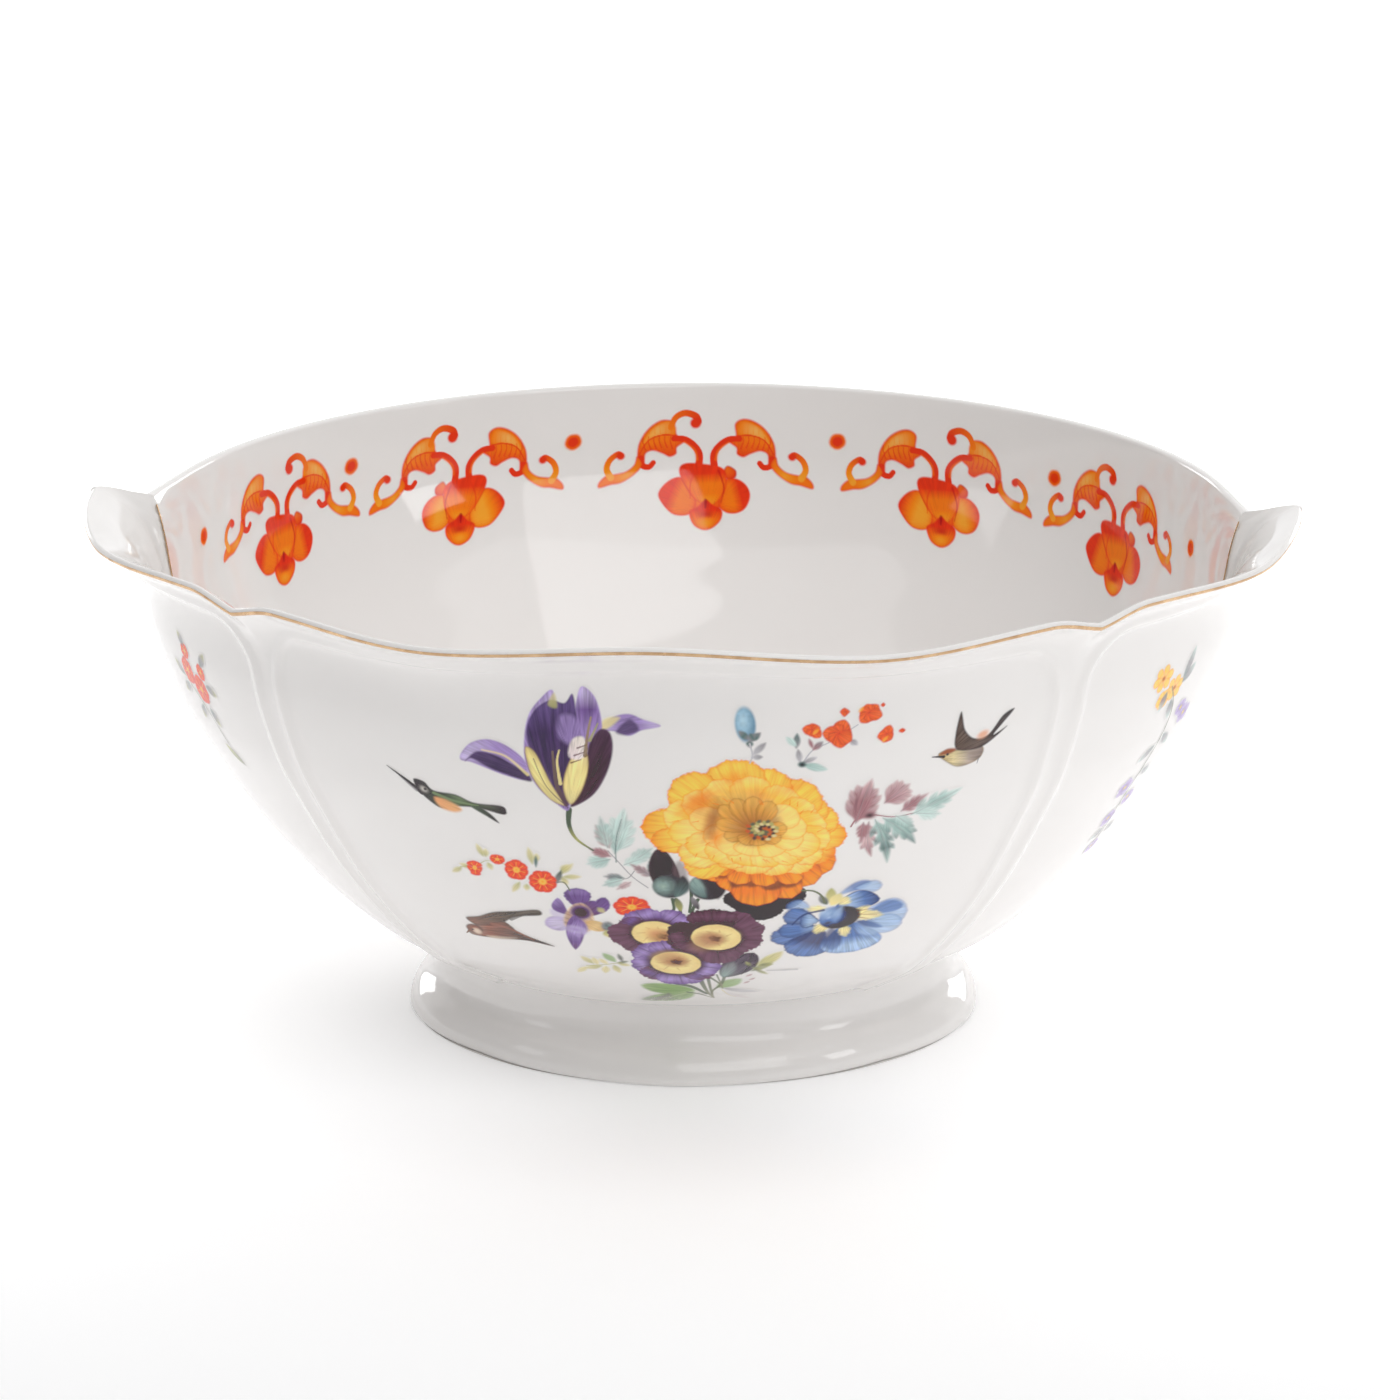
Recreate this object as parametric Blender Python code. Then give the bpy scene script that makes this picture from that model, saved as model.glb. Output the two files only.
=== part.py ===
# Porcelain serving bowl made of two half bowls joined on the diameter, in metres, +Z up.
# The front half (towards -Y) has a lobed body with a flared, scalloped, gilded rim and a lobed foot.
# The rear half is a plain round bowl on a plain foot ring, with a printed border inside.
# The origin is under the middle of the bowl's box, on the surface that the foot stands on.
import math

import bmesh
import bpy
import numpy as np

# Overall sizes
ROUND_RIM_RADIUS = 0.1365    # rim of the round half, outside
ROUND_RIM_HEIGHT = 0.125
ROUND_DEPTH_RATIO = 1.03     # the round half is this much deeper than half its width, at the rim
LOBE_RIM_RADIUS = 0.1500     # scalloped rim at the middle of a lobe
CREST_RIM_RADIUS = 0.1508    # scalloped rim where a lobe is widest
NOTCH_RIM_RADIUS = 0.1446    # scalloped rim in the notch between two lobes
LOBE_RIM_HEIGHT = 0.1305
CREST_RIM_HEIGHT = 0.1272
NOTCH_RIM_HEIGHT = 0.1252
NOTCH_EAR = 0.0030           # small rise of the rim on each side of a notch
NOTCH_EDGE = 0.0014          # and the rim stands out this much there

# Body
NECK_RADIUS = 0.0660         # body where it meets the foot, outside
BODY_RADIUS = 0.1350         # body at the shoulder, outside
SHOULDER_HEIGHT = 0.1060
BODY_SHARES = ((0, 0), (0.11, 0.25), (0.38, 0.594), (0.59, 0.776), (0.80, 0.922), (1.01, 1.0), (1.45, 1.03))
LOBE_SWELL = 0.0013          # the lobed body swells this much at a lobe, and sinks as much at a notch
WALL = 0.0055                # wall thickness in the body
RIM_WALL = 0.0030            # wall thickness at the rim
FLOOR = 0.0058               # thickness of the bowl's floor

# Foot
FOOT_HEIGHT = 0.0187
FOOT_RADIUS = 0.0712
FOOT_INNER_RADIUS = 0.0600
FOOT_LOBE = 0.0012           # the lobed foot's creases stand out or in by this much
FOOT_WAIST = 0.0006          # foot's top stands inside the body's edge by this much

# Thin layers and gaps
GAP = 0.0003                 # between two pieces that touch
FILM = 0.0003                # printed transfers
GOLD = 0.0005                # gilding
GOLD_WIDTH = 0.0012

# Layout, in degrees from the front for the lobed half and from the back for the round half
NOTCH_ANGLE = 45.0
LOBED_STEPS = 40
ROUND_STEPS = 32
BOUQUET_COLUMNS = (11, 29)   # steps of the lobed half that the front print covers
LEFT_SPRAY_COLUMNS = (1, 8)
RIGHT_SPRAY_COLUMNS = (32, 39)
BORDER_COLUMNS = (1, 31)     # steps of the round half that the border covers
WALL_ROWS = (0.0, 0.06, 0.125, 0.225, 0.36, 0.52, 0.68, 0.82, 0.90, 0.95, 0.98, 1.0)
BOUQUET_ROWS = (1, 8)        # rows of the wall that each print covers
SPRAY_ROWS = (3, 8)
BORDER_ROWS = (7, 10)
FLOOR_ROWS = (0.0, 0.5, 0.88)
SEAM_TOP_ANGLE = 1.0         # the gold line ends this far below level, seen from the rim's middle
SEAM_STEPS = 24
SEAM_CROWDING = 1.6          # its steps are closer together towards the rim


def smooth_through(x, points):
    """Monotone cubic curve through a few (x, y) points."""
    px, py = np.array(points, float).T
    step = np.diff(px)
    slope = np.diff(py) / step
    inner = np.where(
        slope[1:] * slope[:-1] > 0,
        2 * slope[1:] * slope[:-1] / np.where(slope[1:] + slope[:-1] == 0, 1, slope[1:] + slope[:-1]),
        0,
    )
    tangent = np.concatenate([[slope[0]], inner, [slope[-1]]])
    i = np.clip(np.searchsorted(px, x) - 1, 0, len(step) - 1)
    t = np.clip((x - px[i]) / step[i], 0, 1)
    h = step[i]
    return (
        (2 * t**3 - 3 * t**2 + 1) * py[i] + (t**3 - 2 * t**2 + t) * h * tangent[i]
        + (3 * t**2 - 2 * t**3) * py[i + 1] + (t**3 - t**2) * h * tangent[i + 1]
    )


def lobe_place(angle):
    """How far an angle is from its lobe's middle, from 0 there to 1 in the notch."""
    return np.abs((angle + NOTCH_ANGLE) % (2 * NOTCH_ANGLE) - NOTCH_ANGLE) / NOTCH_ANGLE


def rim_of_lobes(angle):
    """Radius and height of the scalloped rim."""
    u = lobe_place(angle)
    radius = smooth_through(u, (
        (-0.42, CREST_RIM_RADIUS), (0, LOBE_RIM_RADIUS), (0.42, CREST_RIM_RADIUS),
        (0.8, NOTCH_RIM_RADIUS + NOTCH_EDGE), (1, NOTCH_RIM_RADIUS)))
    height = smooth_through(u, (
        (-0.5, CREST_RIM_HEIGHT), (0, LOBE_RIM_HEIGHT), (0.5, CREST_RIM_HEIGHT),
        (0.86, NOTCH_RIM_HEIGHT + NOTCH_EAR), (1, NOTCH_RIM_HEIGHT)))
    return radius, height


def body_radius(z):
    """Outside radius of the plain body at a height."""
    share = (z - FOOT_HEIGHT) / (SHOULDER_HEIGHT - FOOT_HEIGHT)
    return NECK_RADIUS + (BODY_RADIUS - NECK_RADIUS) * smooth_through(share, BODY_SHARES)


def lobed_profile(angle, v):
    """Outside of the lobed half: v runs from 0 at the foot to 1 at the rim."""
    rim_radius, rim_height = rim_of_lobes(angle)
    z = FOOT_HEIGHT + (rim_height - FOOT_HEIGHT) * v
    swell = LOBE_SWELL * np.cos(np.radians(360 / (2 * NOTCH_ANGLE) * angle)) * np.sin(np.pi / 2 * np.clip(2 * v, 0, 1))
    body = body_radius(z) + swell
    rim_body = body_radius(rim_height) + LOBE_SWELL * np.cos(np.radians(360 / (2 * NOTCH_ANGLE) * angle))
    flare_start = 0.72
    w = np.clip((v - flare_start) / (1 - flare_start), 0, 1)
    return body + (rim_radius - rim_body) * (0.3 * w**2 + 0.7 * w**6), z


def round_profile(angle, v):
    """Outside of the round half, which only turns out a little at its lip."""
    z = FOOT_HEIGHT + (ROUND_RIM_HEIGHT - FOOT_HEIGHT) * v
    rim_body = body_radius(np.full_like(z, ROUND_RIM_HEIGHT))
    w = np.clip((v - 0.85) / 0.15, 0, 1)
    return body_radius(z) + (ROUND_RIM_RADIUS - rim_body) * w**2, z


def wall_points(profile, angles, rows, lift, depth_ratio=1.0, side=-1):
    """Points on a half bowl's wall, lifted off its outside along the normal, as an array [angle, row, xyz].
    lift 0 is the outside, and a negative lift of the wall's thickness is the inside."""
    angle, v = np.meshgrid(np.asarray(angles, float), np.asarray(rows, float), indexing="ij")
    small = 1e-4
    low, high = np.clip(v - small, 0, 1), np.clip(v + small, 0, 1)
    r0, z0 = profile(angle, low)
    r1, z1 = profile(angle, high)
    r, z = profile(angle, v)
    length = np.hypot(r1 - r0, z1 - z0)
    offset = np.broadcast_to(lift, v.shape)
    r = r + offset * (z1 - z0) / length
    z = z - offset * (r1 - r0) / length
    a = np.radians(angle)
    ratio = 1 + (depth_ratio - 1) * v
    return np.stack([r * np.sin(a), side * (r * np.cos(a) * ratio + GAP / 2), z], axis=2)


def wall_thickness(rows):
    """Thickness at each row: even in the body and thinner towards the rim."""
    v = np.asarray(rows, float)
    return WALL + (RIM_WALL - WALL) * np.clip((v - 0.5) / 0.5, 0, 1) ** 1.5


def floor_heights(inner):
    """Height of each ring of the floor's top, which dishes up to the wall's first inside row."""
    middle = FOOT_HEIGHT + FLOOR
    return middle + (inner[0, 0, 2] - middle) * np.asarray(FLOOR_ROWS, float) ** 2


def floor_points(angles, z, edge, side=-1):
    """Rings of the floor, from the middle outwards, under or inside the wall's first row."""
    share = np.asarray(FLOOR_ROWS, float)
    flat = edge[:, :1, :] * share[None, :, None]
    flat[:, :, 1] = edge[:, :1, 1] * share + side * GAP / 2 * (1 - share)
    flat[:, :, 2] = z[None, :]
    return flat


def make_material(name, colour, roughness, metallic=0.0):
    material = bpy.data.materials.new(name)
    material.use_nodes = True
    shader = material.node_tree.nodes["Principled BSDF"]
    shader.inputs["Base Color"].default_value = (*colour, 1)
    shader.inputs["Roughness"].default_value = roughness
    shader.inputs["Metallic"].default_value = metallic
    return material


def solid_between(name, outer, inner, material, poles=False):
    """One closed solid between two sheets of points of the same size, [across, along, xyz].
    With poles the first row of each sheet is a single point on the bowl's axis."""
    columns, rows = outer.shape[:2]
    mesh = bpy.data.meshes.new(name)
    shape = bmesh.new()
    sheets = []
    for sheet in (outer, inner):
        grid = [[None] * rows for _ in range(columns)]
        for i in range(columns):
            for k in range(rows):
                shared = poles and k == 0 and i > 0
                grid[i][k] = grid[0][0] if shared else shape.verts.new(sheet[i, k])
        sheets.append(grid)
    out, ins = sheets

    def face(*corners):
        kept = []
        for corner in corners:
            if corner not in kept:
                kept.append(corner)
        if len(kept) > 2:
            shape.faces.new(kept)

    for i in range(columns - 1):
        for k in range(rows - 1):
            face(out[i][k], out[i + 1][k], out[i + 1][k + 1], out[i][k + 1])
            face(ins[i][k], ins[i][k + 1], ins[i + 1][k + 1], ins[i + 1][k])
        face(out[i][-1], out[i + 1][-1], ins[i + 1][-1], ins[i][-1])
        if not poles:
            face(out[i][0], ins[i][0], ins[i + 1][0], out[i + 1][0])
    for k in range(rows - 1):
        face(out[0][k], out[0][k + 1], ins[0][k + 1], ins[0][k])
        face(out[-1][k], ins[-1][k], ins[-1][k + 1], out[-1][k + 1])
    bmesh.ops.triangulate(shape, faces=shape.faces[:])
    bmesh.ops.recalc_face_normals(shape, faces=shape.faces[:])
    shape.to_mesh(mesh)
    shape.free()
    mesh.shade_smooth()
    mesh.set_sharp_from_angle(angle=math.radians(35))
    mesh.materials.append(material)
    made = bpy.data.objects.new(name, mesh)
    bpy.context.scene.collection.objects.link(made)
    return made


def make_wall(name, profile, angles, material, depth_ratio=1.0, side=-1):
    """Half of the bowl, with its half of the floor."""
    outer = wall_points(profile, angles, WALL_ROWS, 0, depth_ratio, side)
    inner = wall_points(profile, angles, WALL_ROWS, -wall_thickness(WALL_ROWS), depth_ratio, side)
    under = floor_points(angles, np.full(len(FLOOR_ROWS), FOOT_HEIGHT), outer, side=side)
    top = floor_points(angles, floor_heights(inner), inner, side=side)
    return solid_between(
        name, np.concatenate([under, outer], 1), np.concatenate([top, inner], 1), material, poles=True)


def make_foot(name, angles, material, lobed, side=-1):
    """Half of the foot ring: a cove outside, and a flat ring to stand on."""
    top = FOOT_HEIGHT - GAP
    top_radius = NECK_RADIUS - FOOT_WAIST
    heights = np.array([0.0, 0.08, 0.25, 0.5, 0.75, 1.0]) * top
    flare = FOOT_RADIUS - top_radius
    outside = top_radius + flare * np.array([0.80, 1.0, 0.90, 0.42, 0.10, 0.0])
    inside = np.linspace(FOOT_INNER_RADIUS, FOOT_INNER_RADIUS - 0.0015, len(heights))
    a = np.radians(np.asarray(angles, float))[:, None]
    crease = FOOT_LOBE * (1 - 2 * lobe_place(np.asarray(angles, float)))[:, None] if lobed else 0

    def ring(radius, crease_share):
        z = np.broadcast_to(heights, (len(a), len(heights)))
        r = np.broadcast_to(radius[None, :] + crease * crease_share, z.shape)
        return np.stack([r * np.sin(a), side * (r * np.cos(a) + GAP / 2), z], axis=2)

    fade = np.array([1.0, 1.0, 0.9, 0.6, 0.3, 0.0])
    return solid_between(name, ring(outside, fade), ring(inside, np.zeros(len(heights))), material)


def make_rim_gilding(name, angles, material):
    """Gold band on the end face of the scalloped rim, nearest its outer edge."""
    outer = wall_points(lobed_profile, angles, (0.999, 1.0), 0)
    inner = wall_points(lobed_profile, angles, (0.999, 1.0), -RIM_WALL)
    ahead = outer[:, 1] - outer[:, 0]
    ahead /= np.linalg.norm(ahead, axis=1)[:, None]
    across = inner[:, 1] - outer[:, 1]
    across /= np.linalg.norm(across, axis=1)[:, None]
    edges = [outer[:, 1] + across * w for w in (0.0002, 0.0002 + GOLD_WIDTH)]
    near = np.stack([e + ahead * GAP for e in edges], axis=1)
    far = np.stack([e + ahead * (GAP + GOLD) for e in edges], axis=1)
    return solid_between(name, far, near, material)


def inside_outline(profile, depth_ratio=1.0, side=-1):
    """The inside of a half bowl at the joint, as (x, z) points from the floor's middle to the rim."""
    inner = wall_points(profile, (90,), WALL_ROWS, -wall_thickness(WALL_ROWS), depth_ratio, side)
    top = floor_points((90,), floor_heights(inner), inner, side=side)
    return np.concatenate([top, inner], 1)[0][:, (0, 2)]


def reach(outline, centre, directions):
    """Distance from a centre to an outline along each direction."""
    start, run = outline[:-1] - centre, np.diff(outline, axis=0)
    dx, dz = directions[:, :1], directions[:, 1:]
    across = dx * run[:, 1] - dz * run[:, 0]
    across = np.where(np.abs(across) < 1e-12, 1e-12, across)
    along = (start[:, 0] * run[:, 1] - start[:, 1] * run[:, 0]) / across
    place = (start[:, 0] * dz - start[:, 1] * dx) / across
    meets = (place > -1e-6) & (place < 1 + 1e-6) & (along > 0)
    return np.where(meets, along, np.inf).min(axis=1)


def make_seam_gilding(name, material):
    """Gold line over the joint, down one side of the inside, across the floor and up the other side.
    It lies on whichever half stands further in, so that it clears both."""
    centre = np.array([0.0, ROUND_RIM_HEIGHT])
    fall = (90 - SEAM_TOP_ANGLE) * np.linspace(1, 0, SEAM_STEPS) ** SEAM_CROWDING
    turn = np.radians(SEAM_TOP_ANGLE + fall)
    directions = np.stack([np.cos(turn), -np.sin(turn)], axis=1)
    distance = np.minimum(
        reach(inside_outline(lobed_profile), centre, directions),
        reach(inside_outline(round_profile, ROUND_DEPTH_RATIO, 1), centre, directions))
    half = centre + directions * distance[:, None]
    path = np.concatenate([half[:0:-1] * (-1, 1), half])
    ahead = np.gradient(path, axis=0)
    ahead /= np.linalg.norm(ahead, axis=1)[:, None]
    up = np.stack([-ahead[:, 1], ahead[:, 0]], axis=1)

    def edge_pair(lift):
        place = path + up * lift
        return np.stack([
            np.stack([place[:, 0], np.full(len(place), y), place[:, 1]], axis=1)
            for y in (-GOLD_WIDTH / 2, GOLD_WIDTH / 2)], axis=1)

    return solid_between(name, edge_pair(GAP + GOLD), edge_pair(GAP), material)


def make_print(name, profile, angles, columns, rows, inside, material, depth_ratio=1.0, side=-1):
    """A fired transfer: a thin film on the wall's own rows and columns, outside or inside the bowl."""
    part = angles[columns[0]:columns[1] + 1]
    row = WALL_ROWS[rows[0]:rows[1] + 1]
    base = -(wall_thickness(row) + GAP) if inside else np.full(len(row), GAP)
    top = base - FILM if inside else base + FILM
    return solid_between(
        name, wall_points(profile, part, row, top, depth_ratio, side),
        wall_points(profile, part, row, base, depth_ratio, side), material)


def centre_on_box():
    """Moves every piece so that the bowl's box is centred over the origin."""
    pieces = [o for o in bpy.context.scene.objects if o.type == "MESH"]
    points = np.array([v.co[:] for o in pieces for v in o.data.vertices])
    middle = (points.min(0) + points.max(0)) / 2
    for piece in pieces:
        piece.location = (-middle[0], -middle[1], 0)


for old in list(bpy.data.objects):
    bpy.data.objects.remove(old, do_unlink=True)

porcelain = make_material("porcelain", (0.90, 0.89, 0.88), 0.08)
gold = make_material("gold", (0.80, 0.58, 0.28), 0.25, 1.0)
bouquet_enamel = make_material("bouquet_enamel", (0.85, 0.55, 0.25), 0.15)
spray_enamel = make_material("spray_enamel", (0.70, 0.45, 0.50), 0.15)
border_enamel = make_material("border_enamel", (0.90, 0.25, 0.06), 0.15)

lobed_angles = np.linspace(-2 * NOTCH_ANGLE, 2 * NOTCH_ANGLE, LOBED_STEPS + 1)
round_angles = np.linspace(-90, 90, ROUND_STEPS + 1)

make_wall("lobed_wall", lobed_profile, lobed_angles, porcelain)
make_wall("round_wall", round_profile, round_angles, porcelain, ROUND_DEPTH_RATIO, 1)
make_foot("lobed_foot", lobed_angles, porcelain, True)
make_foot("round_foot", round_angles, porcelain, False, 1)
make_rim_gilding("rim_gilding", lobed_angles, gold)
make_seam_gilding("seam_gilding", gold)
make_print("bouquet_print", lobed_profile, lobed_angles, BOUQUET_COLUMNS, BOUQUET_ROWS, False, bouquet_enamel)
make_print("left_spray_print", lobed_profile, lobed_angles, LEFT_SPRAY_COLUMNS, SPRAY_ROWS, False, spray_enamel)
make_print("right_spray_print", lobed_profile, lobed_angles, RIGHT_SPRAY_COLUMNS, SPRAY_ROWS, False, spray_enamel)
make_print(
    "border_print", round_profile, round_angles, BORDER_COLUMNS, BORDER_ROWS, True, border_enamel,
    ROUND_DEPTH_RATIO, 1)
centre_on_box()
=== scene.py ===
import math

import bmesh
import bpy
import numpy as np
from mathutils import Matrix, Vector


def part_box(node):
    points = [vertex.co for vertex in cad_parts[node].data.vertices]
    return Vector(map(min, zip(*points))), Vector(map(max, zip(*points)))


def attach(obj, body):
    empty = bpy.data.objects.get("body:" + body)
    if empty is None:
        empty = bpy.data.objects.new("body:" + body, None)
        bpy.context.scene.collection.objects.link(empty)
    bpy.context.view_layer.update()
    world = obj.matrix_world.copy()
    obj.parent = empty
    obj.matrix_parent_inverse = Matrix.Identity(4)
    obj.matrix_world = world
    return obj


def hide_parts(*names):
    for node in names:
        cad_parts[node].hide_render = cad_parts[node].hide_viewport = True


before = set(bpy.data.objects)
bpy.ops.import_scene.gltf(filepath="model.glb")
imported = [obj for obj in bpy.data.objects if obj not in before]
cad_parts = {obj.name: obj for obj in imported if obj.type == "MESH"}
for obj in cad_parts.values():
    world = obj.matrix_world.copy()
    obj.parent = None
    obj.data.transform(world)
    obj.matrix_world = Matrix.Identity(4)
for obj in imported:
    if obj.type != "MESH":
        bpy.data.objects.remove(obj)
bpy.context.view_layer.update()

# Porcelain serving bowl of two half bowls: a lobed, gilded front half and a plain round rear half.
# Metres, +Z up. Sheets of print are laid out in millimetres of arc and of height along the wall.

milli = 0.001


# meshes from grids of points

def addMesh(name, points, faces, smooth=True):
    # points is (n, 3) and faces is a list of (m, k) index arrays, each with its own corner count k
    counts = np.concatenate([np.full(len(f), f.shape[1], np.int32) for f in faces])
    corners = np.concatenate([f.ravel() for f in faces]).astype(np.int32)
    mesh = bpy.data.meshes.new(name)
    mesh.vertices.add(len(points))
    mesh.vertices.foreach_set("co", np.asarray(points, np.float32).ravel())
    mesh.loops.add(len(corners))
    mesh.loops.foreach_set("vertex_index", corners)
    mesh.polygons.add(len(counts))
    mesh.polygons.foreach_set("loop_start", np.concatenate([[0], np.cumsum(counts)[:-1]]).astype(np.int32))
    mesh.polygons.foreach_set("use_smooth", np.full(len(counts), smooth))
    mesh.update(calc_edges=True)
    mesh.validate()
    made = bpy.data.objects.new(name, mesh)
    bpy.context.scene.collection.objects.link(made)
    return made


def gridFaces(rows, columns, start=0):
    # quads of a grid whose point (i, k) has index start + i * columns + k
    i, k = np.meshgrid(np.arange(rows - 1), np.arange(columns - 1), indexing="ij")
    a = (start + i * columns + k).ravel()
    return np.stack([a, a + columns, a + columns + 1, a + 1], axis=1)


def closedSweep(name, rings, sharpAngle=38):
    # rings[i] is the whole outline of the cross-section i, as closed loops of the same length; the sweep
    # joins ring i to ring i + 1 point by point, and the first and the last ring are capped flat
    count, size = rings.shape[:2]
    looped = np.concatenate([rings, rings[:, :1]], axis=1)
    quads = gridFaces(count, size + 1)
    column = quads % (size + 1) % size
    quads = quads // (size + 1) * size + column
    caps = np.stack([np.arange(size), (count - 1) * size + np.arange(size)[::-1]])
    made = addMesh(name, looped[:, :-1].reshape(-1, 3), [quads, caps])
    finishShell(made, sharpAngle)
    return made


def finishShell(made, sharpAngle):
    # merges points that share a place, turns the faces outwards and marks hard edges
    shell = bmesh.new()
    shell.from_mesh(made.data)
    bmesh.ops.remove_doubles(shell, verts=shell.verts[:], dist=1e-6)
    bmesh.ops.recalc_face_normals(shell, faces=shell.faces[:])
    shell.to_mesh(made.data)
    shell.free()
    made.data.set_sharp_from_angle(angle=math.radians(sharpAngle))


def smoothThrough(x, points):
    # monotone cubic curve through a few (x, y) points
    # each tangent is the harmonic mean of the slopes beside it
    px, py = np.array(points, float).T
    step = np.diff(px)
    slope = np.diff(py) / step
    both = slope[1:] + slope[:-1]
    inner = np.where(slope[1:] * slope[:-1] > 0, 2 * slope[1:] * slope[:-1] / np.where(both == 0, 1, both), 0)
    tangent = np.concatenate([[slope[0]], inner, [slope[-1]]])
    i = np.clip(np.searchsorted(px, x) - 1, 0, len(step) - 1)
    t = np.clip((x - px[i]) / step[i], 0, 1)
    h = step[i]
    return ((2 * t**3 - 3 * t**2 + 1) * py[i] + (t**3 - 2 * t**2 + t) * h * tangent[i]
            + (3 * t**2 - 2 * t**3) * py[i + 1] + (t**3 - t**2) * h * tangent[i + 1])


def easeStep(x):
    # 0 below 0, 1 above 1 and 3x^2 - 2x^3 between
    x = np.clip(x, 0, 1)
    return x * x * (3 - 2 * x)


# the bowl's shape, with its sizes taken from the frame

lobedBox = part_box("lobed_wall")
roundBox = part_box("round_wall")
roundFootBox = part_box("round_foot")
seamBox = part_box("seam_gilding")

bowl = {
    "axisY": (seamBox[0].y + seamBox[1].y) / 2,
    "neckRadius": 0.0660,
    "bodyRadius": 0.1350,
    "shoulderHeight": 0.1060,
    # share of the height up to the shoulder, and share of the way out from neck to body
    "bodyShares": ((0, 0), (0.11, 0.25), (0.38, 0.594), (0.59, 0.776), (0.80, 0.922), (1.01, 1.0),
                   (1.45, 1.03)),
    "lobeRim": (lobedBox[1].x, 0.1305),       # radius and height of the rim at the middle of a lobe
    "crestRim": (0.1508, 0.1272),             # where it is widest
    "notchRim": (0.1446, 0.1252),             # in the notch between two lobes
    "notchEar": 0.0030,                       # rise of the rim just beside a notch
    "notchEdge": 0.0014,                      # and how much further out it is there
    "swell": 0.0013,                          # the wall bulges this much in each lobe
    "earDrop": 0.0022,                        # the outer lobes end this much lower
    "earDepth": 0.0065,                       # their rim turns in over this depth to meet the round half
    "earPull": 0.20,                          # share by which the round rim leans towards that edge
    "earPullDepth": 0.034,
    "roundRim": roundBox[1].x,
    "roundHeight": roundBox[1].z,
    "roundDepth": 1.03,
    "wall": 0.0055,
    "floor": 0.0058,
    "base": lobedBox[0].z,                    # underside of the body, on top of the foot
}


def lobePlace(angle):
    # 0 at the middle of a lobe and 1 in the notch, from the angle in degrees
    return np.abs((angle + 45) % 90 - 45) / 45


def rimOfLobes(angle):
    # radius and height of the lobed rim: curves over lobePlace, and the height eases down at the joins
    u = lobePlace(angle)
    (r0, z0), (r1, z1), (r2, z2) = bowl["lobeRim"], bowl["crestRim"], bowl["notchRim"]
    radius = smoothThrough(u, ((-0.42, r1), (0, r0), (0.42, r1), (0.8, r2 + bowl["notchEdge"]), (1, r2)))
    height = smoothThrough(u, ((-0.5, z1), (0, z0), (0.5, z1), (0.86, z2 + bowl["notchEar"]), (1, z2)))
    return radius, height - bowl["earDrop"] * easeStep((np.abs(angle) - 76) / 14)


def bodyRadius(z):
    # the neck radius plus a share of the way out to the body radius, as a curve over height
    share = (z - bowl["base"]) / (bowl["shoulderHeight"] - bowl["base"])
    return bowl["neckRadius"] + (bowl["bodyRadius"] - bowl["neckRadius"]) * smoothThrough(share,
        bowl["bodyShares"])


def lobedProfile(angle, v):
    # the body's curve, swelling with the cosine of four times the angle, plus a flare that grows
    # as 0.3 w^2 + 0.7 w^6 over the top of the wall
    rimRadius, rimHeight = rimOfLobes(angle)
    z = bowl["base"] + (rimHeight - bowl["base"]) * v
    wave = bowl["swell"] * np.cos(np.radians(4 * angle))
    w = np.clip((v - 0.72) / 0.28, 0, 1)
    body = bodyRadius(z) + wave * np.sin(np.pi / 2 * np.clip(2 * v, 0, 1))
    return body + (rimRadius - bodyRadius(rimHeight) - wave) * (0.3 * w**2 + 0.7 * w**6), z


def roundProfile(angle, v):
    # the body's curve, turned out a little over the last part of the wall
    z = bowl["base"] + (bowl["roundHeight"] - bowl["base"]) * v
    w = np.clip((v - 0.85) / 0.15, 0, 1)
    return bodyRadius(z) + (bowl["roundRim"] - bodyRadius(np.full_like(z, bowl["roundHeight"]))) * w**2, z


lobedHalf = {"profile": lobedProfile, "depth": 1.0, "side": -1, "rimWall": 0.0018}
roundHalf = {"profile": roundProfile, "depth": bowl["roundDepth"], "side": 1, "rimWall": 0.0026}


def wallThickness(half, v):
    # the wall thins over its upper half, as the 1.5th power of the height above that
    return bowl["wall"] + (half["rimWall"] - bowl["wall"]) * np.clip((v - 0.5) / 0.5, 0, 1) ** 1.5


def meridian(half, angle, v, lift):
    # radius and height of points lifted off the outside by lift, along the normal of the profile
    low, high = np.clip(v - 1e-4, 0, 1), np.clip(v + 1e-4, 0, 1)
    r0, z0 = half["profile"](angle, low)
    r1, z1 = half["profile"](angle, high)
    r, z = half["profile"](angle, v)
    length = np.hypot(r1 - r0, z1 - z0)
    return r + lift * (z1 - z0) / length, z - lift * (r1 - r0) / length


def placed(half, angle, v, r, z):
    # from radius, height and angle to a point; the round half is drawn out in depth towards its rim
    a = np.radians(angle)
    ratio = 1 + (half["depth"] - 1) * v
    return np.stack([r * np.sin(a), bowl["axisY"] + half["side"] * r * np.cos(a) * ratio, z], axis=-1)


def earShare(v):
    # how far the lobed half flares past the round half at the join, from 0 to 1 at the rim, as a square root
    side = np.full_like(v, 90.0)
    out = lobedProfile(side, v)[0] - roundProfile(side, v)[0]
    return np.sqrt(np.clip(out / (bowl["lobeRim"][0] - bowl["roundRim"]), 0, 1))


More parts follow.
